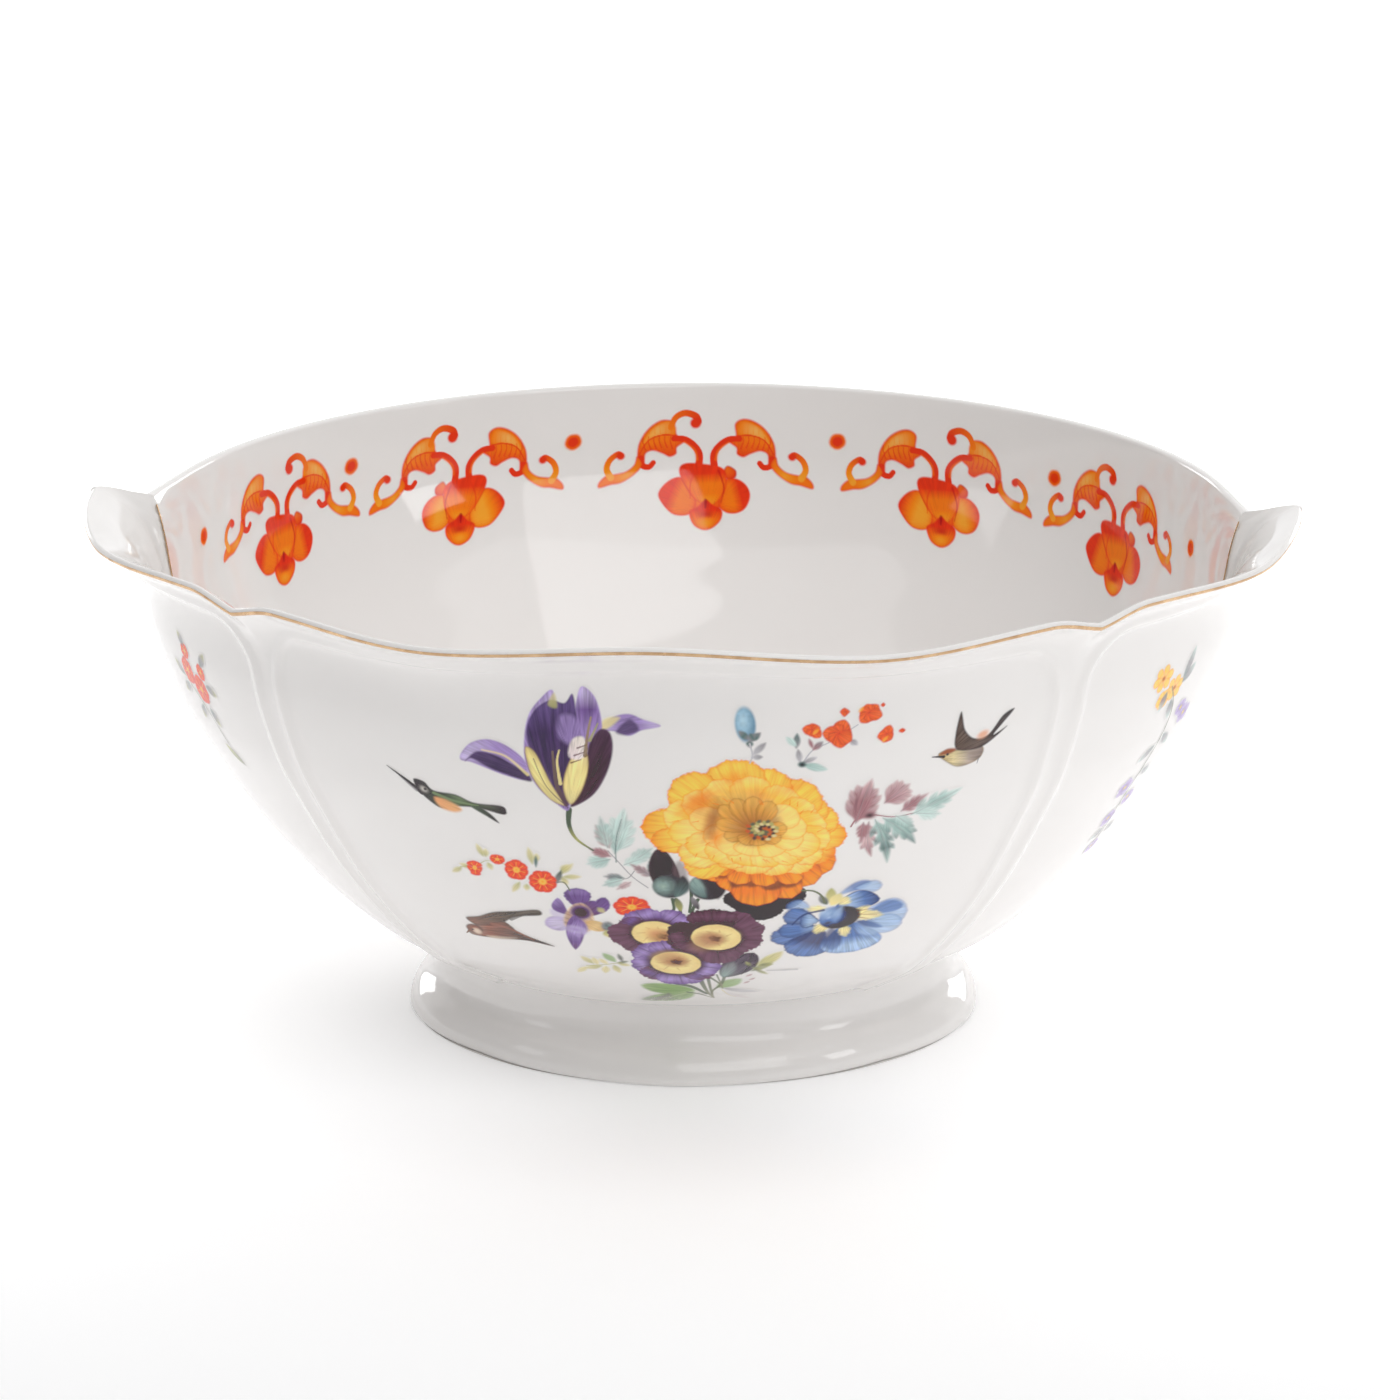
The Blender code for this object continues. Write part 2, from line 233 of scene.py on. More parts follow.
def turnIn(points, v, thickness):
    # the round half starts as the flared edge of the lobed half and turns in to its own shape, as a
    # quarter of an ellipse sqrt(1 - t^2), plus a weaker pull that falls off as the square
    side = np.full_like(v, 90.0)
    edgeR, edgeZ = meridian(lobedHalf, side, v, -wallThickness(lobedHalf, v) if thickness else 0 * v)
    away = np.abs(points[..., 1] - bowl["axisY"])
    t = np.clip(away / (bowl["earDepth"] * earShare(v) + 1e-5), 0, 1)
    pull = bowl["earPull"] * np.clip(1 - away / bowl["earPullDepth"], 0, 1) ** 2 * earShare(v)
    mix = 1 - (1 - np.sqrt(1 - t * t)) * (1 - pull)
    x = points[..., 0]
    turned = points.copy()
    turned[..., 0] = x + mix * (np.sign(x) * edgeR - x)
    turned[..., 2] = points[..., 2] + mix * (edgeZ - points[..., 2])
    return np.where(away[..., None] < bowl["earPullDepth"], turned, points)


# raised frames on the lobed half

panelFrame = {
    "ribHalfAngle": 1.75,     # degrees from the notch line to the ridge on each side of it
    "ridgeHeight": 0.00075,
    "ridgeWidth": 0.0016,
    "topDrop": 0.0088,        # the ridge runs this far below the rim, along the wall
    "corner": 0.014,
    "panelSink": 0.00018,
}


def roundedInside(a, b, radius):
    # distance inside a corner made by two edges at distances a and b, rounded with a radius
    both = (a < radius) & (b < radius)
    return np.where(both, radius - np.hypot(radius - a, radius - b), np.minimum(a, b))


def panelRelief(angle, v):
    # a bell-shaped ridge along the top and sides of each panel: height times exp(-(distance / width)^2),
    # and the panel inside it lies a little lower
    fine = np.linspace(0, 1, 400)[None, :]
    column = angle[:, :1]
    r, z = lobedProfile(column + 0 * fine, fine + 0 * column)
    run = np.concatenate([np.zeros((len(column), 1)), np.cumsum(np.hypot(np.diff(r), np.diff(z)),
        axis=1)], axis=1)
    at = np.clip(v * 399, 0, 398.999)
    i = at.astype(int)
    take = np.take_along_axis
    along = take(run, i, 1) * (1 - at + i) + take(run, i + 1, 1) * (at - i)
    radius = take(r, i, 1)
    fromNotch = np.radians((1 - lobePlace(angle)) * 45 - panelFrame["ribHalfAngle"]) * radius
    fromRim = run[:, -1:] - along - panelFrame["topDrop"]
    inside = roundedInside(fromNotch, fromRim, panelFrame["corner"])
    ridge = np.exp(-(inside / panelFrame["ridgeWidth"]) ** 2)
    return panelFrame["ridgeHeight"] * ridge - panelFrame["panelSink"] * easeStep(inside / 0.004)


def outsideLift(half, angle, v):
    # only the lobed half has ridges
    return panelRelief(angle, v) if half is lobedHalf else np.zeros_like(v)


# walls: outside, rounded lip, inside and floor as one closed outline swept round half a turn

wallMesh = {
    "columns": 300,
    "roundColumns": 280,
    "outerRows": 150,
    "innerRows": 64,
    "lipRows": 9,
    "floorRows": 9,
}


def lobedAngles(count):
    # even steps, drawn together near the notches at 45 degrees
    t = np.linspace(-90, 90, count + 1)
    return t + 2.88 * np.sin(np.radians(4 * t))


def roundAngles(count):
    # steps that shrink towards the two joins, as a sine
    return 90 * np.sin(np.linspace(-np.pi / 2, np.pi / 2, count + 1))


def sweepWall(name, half, angles):
    # the outline is: underside, outside, lip, inside, floor
    outerV = easedRows(wallMesh["outerRows"])
    innerV = easedRows(wallMesh["innerRows"])[::-1]
    angle, v = np.meshgrid(angles, outerV, indexing="ij")
    r, z = meridian(half, angle, v, outsideLift(half, angle, v))
    outer = placed(half, angle, v, r, z)
    angleIn, vIn = np.meshgrid(angles, innerV, indexing="ij")
    rIn, zIn = meridian(half, angleIn, vIn, -wallThickness(half, vIn))
    inner = placed(half, angleIn, vIn, rIn, zIn)
    if half is roundHalf:
        outer, inner = turnIn(outer, v, False), turnIn(inner, vIn, True)
    # the lip is half an ellipse from the outer edge to the inner edge, standing up along the wall
    start, end = outer[:, -1], inner[:, 0]
    across = (end - start) / 2
    middle = (start + end) / 2
    ahead = outer[:, -1] - outer[:, -2]
    ahead /= np.linalg.norm(ahead, axis=1)[:, None]
    turn = np.linspace(0, np.pi, wallMesh["lipRows"] + 2)[1:-1]
    lip = (middle[:, None] - across[:, None] * np.cos(turn)[None, :, None]
           + ahead[:, None] * np.sin(turn)[None, :, None] * half["rimWall"] * 0.45)
    share = np.linspace(1, 0, wallMesh["floorRows"] + 1)[1:]
    flatFloor = floorSheet(share, inner[:, -1], bowl["base"] + bowl["floor"])
    under = floorSheet(share[::-1], outer[:, 0], None)
    rings = np.concatenate([under, outer, lip, inner, flatFloor], axis=1)
    return closedSweep(name, rings)


def easedRows(count):
    # rows from foot to rim, closer together in the flare
    t = np.linspace(0, 1, count)
    return t + 0.06 * np.sin(np.pi * 2 * t) / 2 + 0.04 * (t**3 - t)


def floorSheet(share, edge, middleHeight):
    # rings that shrink to the axis; with a height the floor dishes as share^2, else it is flat
    sheet = edge[:, None, :] * np.ones((1, len(share), 1))
    sheet[:, :, 0] = edge[:, :1] * share
    sheet[:, :, 1] = bowl["axisY"] + (edge[:, 1:2] - bowl["axisY"]) * share
    if middleHeight is not None:
        sheet[:, :, 2] = middleHeight + (edge[:, 2:3] - middleHeight) * share**2
    return sheet


# foot rings

foot = {
    "radius": roundFootBox[1].x,
    "innerRadius": 0.0600,
    "topRadius": 0.0654,
    "crease": 0.0012,
    "columns": 260,
    # share of the foot's height, and share of the way out from its top to its resting edge
    "coveShares": ((0.0, 0.99), (0.04, 1.03), (0.12, 1.0), (0.22, 0.88), (0.33, 0.64), (0.46, 0.22),
                   (0.58, 0.02), (0.75, -0.07), (1.0, 0.0)),
    "footRun": 0.0008,        # the foot reaches this far up into the body, so that no gap shows
    "rows": 34,
}


def sweepFoot(name, half, angles, lobed):
    # a cove outside, a rounded resting edge and a plain inside, with a crease at each lobe's middle and notch
    top = bowl["base"] + foot["footRun"]
    share = np.linspace(0, 1, foot["rows"]) ** 1.3
    flare = foot["radius"] - foot["topRadius"]
    outside = foot["topRadius"] + flare * smoothThrough(share, foot["coveShares"])
    turn = np.linspace(np.pi, 0, 12)[1:-1]
    bottomMiddle = (outside[0] + foot["innerRadius"]) / 2
    bottomHalf = (outside[0] - foot["innerRadius"]) / 2
    edge = 0.0004
    heights = share * (top - edge) + edge
    bottomR = bottomMiddle - bottomHalf * np.sign(np.cos(turn)) * np.abs(np.cos(turn)) ** 0.5
    bottomZ = edge * (1 - np.abs(np.sin(turn)) ** 0.5)
    insideZ = np.linspace(edge, top, 12)
    insideR = foot["innerRadius"] - 0.0015 * insideZ / top
    r = np.concatenate([outside[::-1], bottomR[::-1], insideR])
    z = np.concatenate([heights[::-1], bottomZ[::-1], insideZ])
    follow = np.concatenate([smoothThrough(share[::-1], ((0, 1), (0.3, 0.85), (1, 0))),
        np.zeros(len(r) - len(share))])
    follow[len(share):len(share) + 4] = (0.8, 0.6, 0.4, 0.2)
    wave = np.zeros(len(angles))
    if lobed:
        # the creases fade out towards the joins, where both halves have the same outline
        wave = foot["crease"] * (1 - 2 * softPlace(angles)) * easeStep((90 - np.abs(angles)) / 16)
    ring = r[None, :] + wave[:, None] * follow[None, :]
    angle, _ = np.meshgrid(angles, z, indexing="ij")
    points = placed(half, angle, np.zeros_like(angle), ring, np.broadcast_to(z, ring.shape))
    return closedSweep(name, points, 50)


def softPlace(angle):
    # lobePlace with its two corners slightly eased
    u = lobePlace(angle)
    return 0.03 + 0.94 * (u + 0.035 * np.sin(2 * np.pi * u))


# gilding

gilding = {
    "rimLift": 0.00006,
    "seamHalfWidth": 0.00032,
    "seamLift": 0.00012,
}


def gildRim(name, angles):
    # a thin skin over the outer part of the lip's half ellipse
    v = np.array([[0.999, 1.0]]) + 0 * angles[:, None]
    angle = angles[:, None] + 0 * v
    r, z = meridian(lobedHalf, angle, v, outsideLift(lobedHalf, angle, v))
    outer = placed(lobedHalf, angle, v, r, z)
    rIn, zIn = meridian(lobedHalf, angle[:, 1:], v[:, 1:], -wallThickness(lobedHalf, v[:, 1:]))
    inner = placed(lobedHalf, angle[:, 1:], v[:, 1:], rIn, zIn)[:, 0]
    start = outer[:, 1]
    ahead = start - outer[:, 0]
    ahead /= np.linalg.norm(ahead, axis=1)[:, None]
    across = (inner - start) / 2
    reach = np.linalg.norm(across, axis=1)[:, None]
    middle = start + across
    turn = np.linspace(-0.15, 1.15, 9)

    def skin(lift):
        return (middle[:, None] - across[:, None] * np.cos(turn)[None, :, None] * (1 + lift / reach)[:, None]
                + ahead[:, None] * np.sin(turn)[None, :, None] * (lobedHalf["rimWall"] * 0.45 + lift))

    return closedSweep(name, np.concatenate([skin(gilding["rimLift"]), skin(-0.0001)[:, ::-1]], axis=1), 60)


def gildSeam(name):
    # a narrow strip down the crease where the round half has turned in, and on over the floor
    v = np.linspace(0, 0.985, 200)
    depth = bowl["earDepth"] * earShare(v)
    rings = []
    r, z = meridian(roundHalf, np.full_like(v, 90.0), v, -wallThickness(roundHalf, v))
    crease = np.stack([r, bowl["axisY"] + depth + 2e-5, z], axis=-1)
    crease = turnIn(crease, v, True)
    share = np.linspace(0, 1, 20)[:-1]
    floorZ = bowl["base"] + bowl["floor"] + (crease[0, 2] - bowl["base"] - bowl["floor"]) * share**2
    x = np.concatenate([crease[0, 0] * share, crease[:, 0] - gilding["seamLift"]])
    y = np.concatenate([np.full(19, bowl["axisY"]), crease[:, 1]])
    z = np.concatenate([floorZ + gilding["seamLift"], crease[:, 2] + gilding["seamLift"] * 0.5])
    path = np.stack([np.concatenate([-x[:0:-1], x]), np.concatenate([z[:0:-1], z])], axis=1)
    middleY = np.concatenate([y[:0:-1], y])
    ahead = np.gradient(path, axis=0)
    ahead /= np.linalg.norm(ahead, axis=1)[:, None]
    up = np.stack([-ahead[:, 1], ahead[:, 0]], axis=1)
    for t in np.linspace(0, np.pi, 7):
        place = path + up * math.sin(t) * 0.0001
        rings.append(np.stack([place[:, 0], middleY - math.cos(t) * gilding["seamHalfWidth"],
            place[:, 1]], axis=1))
    for offset in (gilding["seamHalfWidth"], -gilding["seamHalfWidth"]):
        place = path - up * 0.0002
        rings.append(np.stack([place[:, 0], middleY + offset, place[:, 1]], axis=1))
    return closedSweep(name, np.stack(rings, axis=1), 60)


# materials

def newMaterial(name):
    material = bpy.data.materials.new(name)
    material.use_nodes = True
    return material, material.node_tree, material.node_tree.nodes["Principled BSDF"]


def addNode(tree, kind, x, y, **values):
    node = tree.nodes.new(kind)
    node.location = (x, y)
    for key, value in values.items():
        setattr(node, key, value)
    return node


def noiseOn(tree, scale, detail, x, y):
    # noise fixed to the piece itself
    place = addNode(tree, "ShaderNodeTexCoord", x - 400, y)
    noise = addNode(tree, "ShaderNodeTexNoise", x, y)
    noise.inputs["Scale"].default_value = scale
    noise.inputs["Detail"].default_value = detail
    tree.links.new(place.outputs["Object"], noise.inputs["Vector"])
    return noise


def mapped(tree, source, low, high, x, y):
    # the middle of a noise's range, 0.3 to 0.7, stretched to low and high
    ramp = addNode(tree, "ShaderNodeMapRange", x, y)
    ramp.inputs["From Min"].default_value = 0.3
    ramp.inputs["From Max"].default_value = 0.7
    ramp.inputs["To Min"].default_value = low
    ramp.inputs["To Max"].default_value = high
    tree.links.new(source, ramp.inputs["Value"])
    return ramp.outputs["Result"]


glaze = {
    "light": (0.912, 0.889, 0.870, 1),
    "shade": (0.897, 0.872, 0.852, 1),
    "poolScale": 22,
    "roughness": (0.045, 0.075),
    "fineScale": 160,
    "waveScale": 28,
    "waveStrength": 0.035,
    "waveDepth": 0.002,
    "indexOfRefraction": 1.52,
}

gold = {
    "thin": (0.50, 0.31, 0.17, 1),
    "thick": (0.72, 0.50, 0.30, 1),
    "brushScale": 240,
    "roughness": (0.34, 0.20),
}


def glazeColour(tree):
    # two near whites mixed by a wide soft noise, as a fired glaze pools
    pool = noiseOn(tree, glaze["poolScale"], 2, -700, 300)
    mix = addNode(tree, "ShaderNodeMix", -250, 300, data_type="RGBA")
    mix.inputs["A"].default_value = glaze["shade"]
    mix.inputs["B"].default_value = glaze["light"]
    tree.links.new(mapped(tree, pool.outputs["Fac"], 0, 1, -480, 300), mix.inputs["Factor"])
    return mix.outputs["Result"]


def glazeSurface(tree, shader):
    # gloss that varies slightly, and a slow waviness of the glaze as bump
    fine = noiseOn(tree, glaze["fineScale"], 3, -700, -60)
    low, high = glaze["roughness"]
    tree.links.new(mapped(tree, fine.outputs["Fac"], low, high, -480, -60), shader.inputs["Roughness"])
    wave = noiseOn(tree, glaze["waveScale"], 1, -700, -360)
    bump = addNode(tree, "ShaderNodeBump", -250, -360)
    bump.inputs["Strength"].default_value = glaze["waveStrength"]
    bump.inputs["Distance"].default_value = glaze["waveDepth"]
    tree.links.new(wave.outputs["Fac"], bump.inputs["Height"])
    tree.links.new(bump.outputs["Normal"], shader.inputs["Normal"])
    shader.inputs["IOR"].default_value = glaze["indexOfRefraction"]


def makeGlaze():
    material, tree, shader = newMaterial("glazedPorcelain")
    tree.links.new(glazeColour(tree), shader.inputs["Base Color"])
    glazeSurface(tree, shader)
    return material


def makeEnamel(name):
    # print fired under the gloss: the sheet's own colour where it is printed, glaze where it is bare
    material, tree, shader = newMaterial(name)
    paint = addNode(tree, "ShaderNodeVertexColor", -500, 560, layer_name="paint")
    mix = addNode(tree, "ShaderNodeMix", 0, 400, data_type="RGBA")
    tree.links.new(paint.outputs["Alpha"], mix.inputs["Factor"])
    tree.links.new(glazeColour(tree), mix.inputs["A"])
    tree.links.new(paint.outputs["Color"], mix.inputs["B"])
    tree.links.new(mix.outputs["Result"], shader.inputs["Base Color"])
    glazeSurface(tree, shader)
    return material


def makeGold():
    # burnished liquid gold, thinner and browner where the brush left less
    material, tree, shader = newMaterial("burnishedGold")
    brush = noiseOn(tree, gold["brushScale"], 4, -700, 300)
    mix = addNode(tree, "ShaderNodeMix", -250, 300, data_type="RGBA")
    mix.inputs["A"].default_value = gold["thin"]
    mix.inputs["B"].default_value = gold["thick"]
    tree.links.new(mapped(tree, brush.outputs["Fac"], 0, 1, -480, 300), mix.inputs["Factor"])
    tree.links.new(mix.outputs["Result"], shader.inputs["Base Color"])
    dull, bright = gold["roughness"]
    tree.links.new(mapped(tree, brush.outputs["Fac"], dull, bright, -480, -60), shader.inputs["Roughness"])
    shader.inputs["Metallic"].default_value = 1.0
    return material


def finishPiece(made, material, slot, *nodes):
    made.data.materials.clear()
    made.data.materials.append(material)
    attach(made, "root")
    if nodes:
        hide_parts(*nodes)
    return made


porcelainGlaze = makeGlaze()
goldLeaf = makeGold()

frontAngles = lobedAngles(wallMesh["columns"])
rearAngles = roundAngles(wallMesh["roundColumns"])
footAngles = np.linspace(-90, 90, foot["columns"] + 1)

finishPiece(sweepWall("lobedWall", lobedHalf, frontAngles), porcelainGlaze, "porcelain", "lobed_wall")
finishPiece(sweepWall("roundWall", roundHalf, rearAngles), porcelainGlaze, "porcelain", "round_wall")
print("walls done")
finishPiece(sweepFoot("lobedFoot", lobedHalf, footAngles, True), porcelainGlaze, "porcelain", "lobed_foot")
finishPiece(sweepFoot("roundFoot", roundHalf, footAngles, False), porcelainGlaze, "porcelain", "round_foot")
print("feet done")
finishPiece(gildRim("rimGilding", frontAngles), goldLeaf, "gold", "rim_gilding")
finishPiece(gildSeam("seamGilding"), goldLeaf, "gold", "seam_gilding")
print("gilding done")


# painting on a sheet: u to the right and v up, in millimetres

def linearOf(colour):
    # display values of 0 to 255 to linear light
    c = np.asarray(colour, float) / 255
    return np.where(c <= 0.04045, c / 12.92, ((c + 0.055) / 1.055) ** 2.4)


def newSheet(u0, u1, v0, v1, step):
    # an empty sheet: linear colours and how much of each point is covered
    u = np.arange(u0, u1 + step / 2, step)
    v = np.arange(v0, v1 + step / 2, step)
    return {"u": u, "v": v, "step": step, "rgb": np.ones((len(v), len(u), 3)),
        "alpha": np.zeros((len(v), len(u)))}


def softNoise(x, y, seed=0):
    # random values on whole numbers, eased between them
    i, j = np.floor(x).astype(int), np.floor(y).astype(int)
    fx, fy = easeStep(x - i), easeStep(y - j)

    def value(a, b):
        mixed = np.sin(a * 127.1 + b * 311.7 + seed * 74.7) * 43758.5453
        return mixed - np.floor(mixed)

    low = value(i, j) * (1 - fx) + value(i + 1, j) * fx
    high = value(i, j + 1) * (1 - fx) + value(i + 1, j + 1) * fx
    return low * (1 - fy) + high * fy


def window(sheet, points, margin):
    # the part of the sheet round some points, as slices and coordinates
    low, high = points.min(0) - margin, points.max(0) + margin
    a = np.clip(np.searchsorted(sheet["u"], (low[0], high[0])), 0, len(sheet["u"]))
    b = np.clip(np.searchsorted(sheet["v"], (low[1], high[1])), 0, len(sheet["v"]))
    u, v = np.meshgrid(sheet["u"][a[0]:a[1]], sheet["v"][b[0]:b[1]])
    return (slice(b[0], b[1]), slice(a[0], a[1])), u, v


def lay(sheet, part, rgb, cover):
    # one translucent layer over what is there
    under, alpha = sheet["rgb"][part], sheet["alpha"][part]
    total = cover + alpha * (1 - cover)
    safe = np.where(total > 1e-6, total, 1)[..., None]
    blend = (rgb * cover[..., None] + under * (alpha * (1 - cover))[..., None]) / safe
    sheet["rgb"][part] = np.where(cover[..., None] > 1e-4, blend, under)
    sheet["alpha"][part] = total


def curveThrough(points, closed, steps=8):
    # Catmull-Rom curve
    p = np.asarray(points, float)
    before = np.roll(p, 1, 0) if closed else np.concatenate([p[:1], p[:-1]])
    after = np.roll(p, -1, 0) if closed else np.concatenate([p[1:], p[-1:]])
    second = np.roll(p, -2, 0) if closed else np.concatenate([p[2:], p[-1:], p[-1:]])
    t = np.arange(steps)[None, :, None] / steps
    a, b, c, d = (x[:, None, :] for x in (before, p, after, second))
    curve = 0.5 * (2 * b + (c - a) * t + (2 * a - 5 * b + 4 * c - d) * t**2 + (3 * b - a - 3 * c + d) * t**3)
    curve = curve.reshape(-1, 2)
    return curve if closed else np.concatenate([curve[:(len(p) - 1) * steps], p[-1:]])


def toCurve(u, v, curve, closed):
    # distance to a curve, the place along it, and whether a point is inside it
    ends = np.concatenate([curve, curve[:1]]) if closed else curve
    best = np.full(u.shape, 1e9)
    place = np.zeros(u.shape)
    inside = np.zeros(u.shape, bool)
    length = np.concatenate([[0], np.cumsum(np.linalg.norm(np.diff(ends, axis=0), axis=1))])
    for k in range(len(ends) - 1):
        (x0, y0), (x1, y1) = ends[k], ends[k + 1]
        dx, dy = x1 - x0, y1 - y0
        t = np.clip(((u - x0) * dx + (v - y0) * dy) / max(dx * dx + dy * dy, 1e-9), 0, 1)
        d = (u - x0 - t * dx) ** 2 + (v - y0 - t * dy) ** 2
        near = d < best
        best = np.where(near, d, best)
        place = np.where(near, length[k] + t * (length[k + 1] - length[k]), place)
        if closed and y0 != y1:
            inside ^= ((y0 > v) != (y1 > v)) & (u < x0 + (v - y0) * dx / dy)
    return np.sqrt(best), place / length[-1], inside


def tinted(tints, t):
    # colours along 0 to 1
    rgb = linearOf(tints)
    at = np.linspace(0, 1, len(rgb)) if len(rgb) > 1 else np.array([0.0])
    return np.stack([np.interp(t, at, rgb[:, c]) for c in range(3)], axis=-1)


def fill(sheet, points, tints, axis=None, rim=None, rimWidth=0.8, soft=0.3, streak=0.0, ragged=0.0, cover=1.0,
         fade=None, corners=False):
    # a closed shape: tints run along the axis, a rim tint falls off from the edge as exp(-d / rimWidth),
    # streaks run along the axis, and the edge is shifted by noise
    curve = np.asarray(points, float) if corners else curveThrough(points, True)
    part, u, v = window(sheet, curve, soft + ragged + 0.3)
    if u.size == 0:
        return
    d, _, inside = toCurve(u, v, curve, True)
    d = np.where(inside, d, -d) + ragged * (softNoise(u * 1.7, v * 1.7, 3) - 0.5) * 2
    base, tip = np.asarray(axis if axis is not None else (curve[0], curve[len(curve) // 2]), float)
    run = tip - base
    size = np.hypot(*run)
    t = ((u - base[0]) * run[0] + (v - base[1]) * run[1]) / size**2
    side = ((u - base[0]) * run[1] - (v - base[1]) * run[0]) / size
    rgb = tinted(tints, t)
    if rim is not None:
        rgb = rgb + (linearOf(rim) - rgb) * np.exp(-np.maximum(d, 0) / rimWidth)[..., None]
    spread = 0.35 + np.clip(t, 0.05, 1)
    lines = softNoise(side / spread * 1.9 + 40, t * size * 0.16, 5) + softNoise(side / spread * 4.3,
        t * size * 0.3, 9)
    rgb = rgb * (1 + streak * (lines - 1))[..., None]
    amount = cover * easeStep(d / soft * 0.5 + 0.5)
    if fade is not None:
        amount = amount * np.interp(t, (0, 1), fade)
    lay(sheet, part, np.clip(rgb, 0.002, 1), amount)


def leaf(sheet, base, tip, width, tints, bend=0.0, belly=1.0, blunt=1.0, teeth=0.0, toothCount=7, **more):
    # a leaf or petal: half width = width / 2 * sin(pi * t^belly)^blunt, bent sideways as a parabola
    base, tip = np.asarray(base, float), np.asarray(tip, float)
    run = tip - base
    size = np.hypot(*run)
    ahead, across = run / size, np.array([run[1], -run[0]]) / size
    t = np.linspace(0, 1, 22)
    half = width / 2 * np.sin(np.pi * t**belly) ** blunt
    half = half * (1 + teeth * np.abs(np.sin(np.pi * toothCount * t)) * easeStep(t / 0.3))
    shift = bend * size * 4 * t * (1 - t)
    middle = base + ahead * (t * size)[:, None] + across * shift[:, None]
    outline = np.concatenate([middle + across * half[:, None], (middle - across * half[:, None])[::-1][1:-1]])
    fill(sheet, outline, tints, axis=(base, tip), corners=True, **more)


def vein(sheet, points, colour, wide=0.4, thin=None, cover=1.0, soft=0.2):
    # a line that tapers from one width to another
    curve = curveThrough(points, False, 6)
    thin = wide if thin is None else thin
    part, u, v = window(sheet, curve, max(wide, thin) + soft + 0.3)
    if u.size == 0:
        return
    d, place, _ = toCurve(u, v, curve, False)
    half = (wide + (thin - wide) * place) / 2
    lay(sheet, part, tinted(colour if np.ndim(colour) > 1 else (colour,), place),
        cover * easeStep((half - d) / soft + 0.5))


def spot(sheet, centre, ru, rv, tints, turn=0.0, wave=0.0, waves=7, soft=0.3, cover=1.0, shift=(0, 0),
        mottle=0.0):
    # an ellipse whose edge waves; tints run from the middle outwards
    centre = np.asarray(centre, float)
    reach = max(ru, rv) * (1 + wave) + soft
    part, u, v = window(sheet, np.array([centre - reach, centre + reach]), 0.3)
    if u.size == 0:
        return
    a = math.radians(turn)
    x = ((u - centre[0]) * math.cos(a) + (v - centre[1]) * math.sin(a)) / ru
    y = ((v - centre[1]) * math.cos(a) - (u - centre[0]) * math.sin(a)) / rv
    edge = 1 + wave * np.abs(np.sin(waves * np.arctan2(y, x) / 2)) * 1.4 - wave * 0.7
    r = np.hypot(x, y) / edge
    shifted = np.hypot(x - shift[0], y - shift[1]) / edge
    rgb = tinted(tints, shifted) * (1 + mottle * (softNoise(u * 1.6, v * 1.6, 2) - 0.5))[..., None]
    lay(sheet, part, np.clip(rgb, 0.002, 1), cover * easeStep((1 - r) * min(ru, rv) / soft * 0.5 + 0.5))


# the bouquet

hue = {"plum": (66, 36, 48), "plumMid": (102, 62, 84), "violet": (108, 78, 138),
    "lilac": (158, 134, 190), "paleLilac": (196, 184, 214), "cream": (240, 222, 152),
    "tan": (196, 156, 104), "brown": (136, 78, 46), "night": (52, 42, 48), "yellow": (248, 192, 78),
    "paleYellow": (250, 212, 118), "amber": (240, 150, 44), "orange": (233, 122, 36),
    "rust": (196, 86, 24), "teal": (150, 178, 172), "paleTeal": (190, 210, 204),
    "darkTeal": (92, 116, 114), "mauve": (156, 110, 116), "paleMauve": (196, 166, 168),
    "blue": (78, 112, 172), "deepBlue": (40, 56, 108), "paleBlue": (158, 184, 216),
    "green": (134, 164, 104), "darkGreen": (78, 92, 74), "olive": (170, 168, 104),
    "straw": (214, 202, 146), "red": (214, 62, 28), "scarlet": (236, 84, 40), "grey": (142, 138, 142),
    "paleGrey": (190, 188, 192), "stem": (106, 112, 86),}


def tones(*names):
    return [hue[n] for n in names]


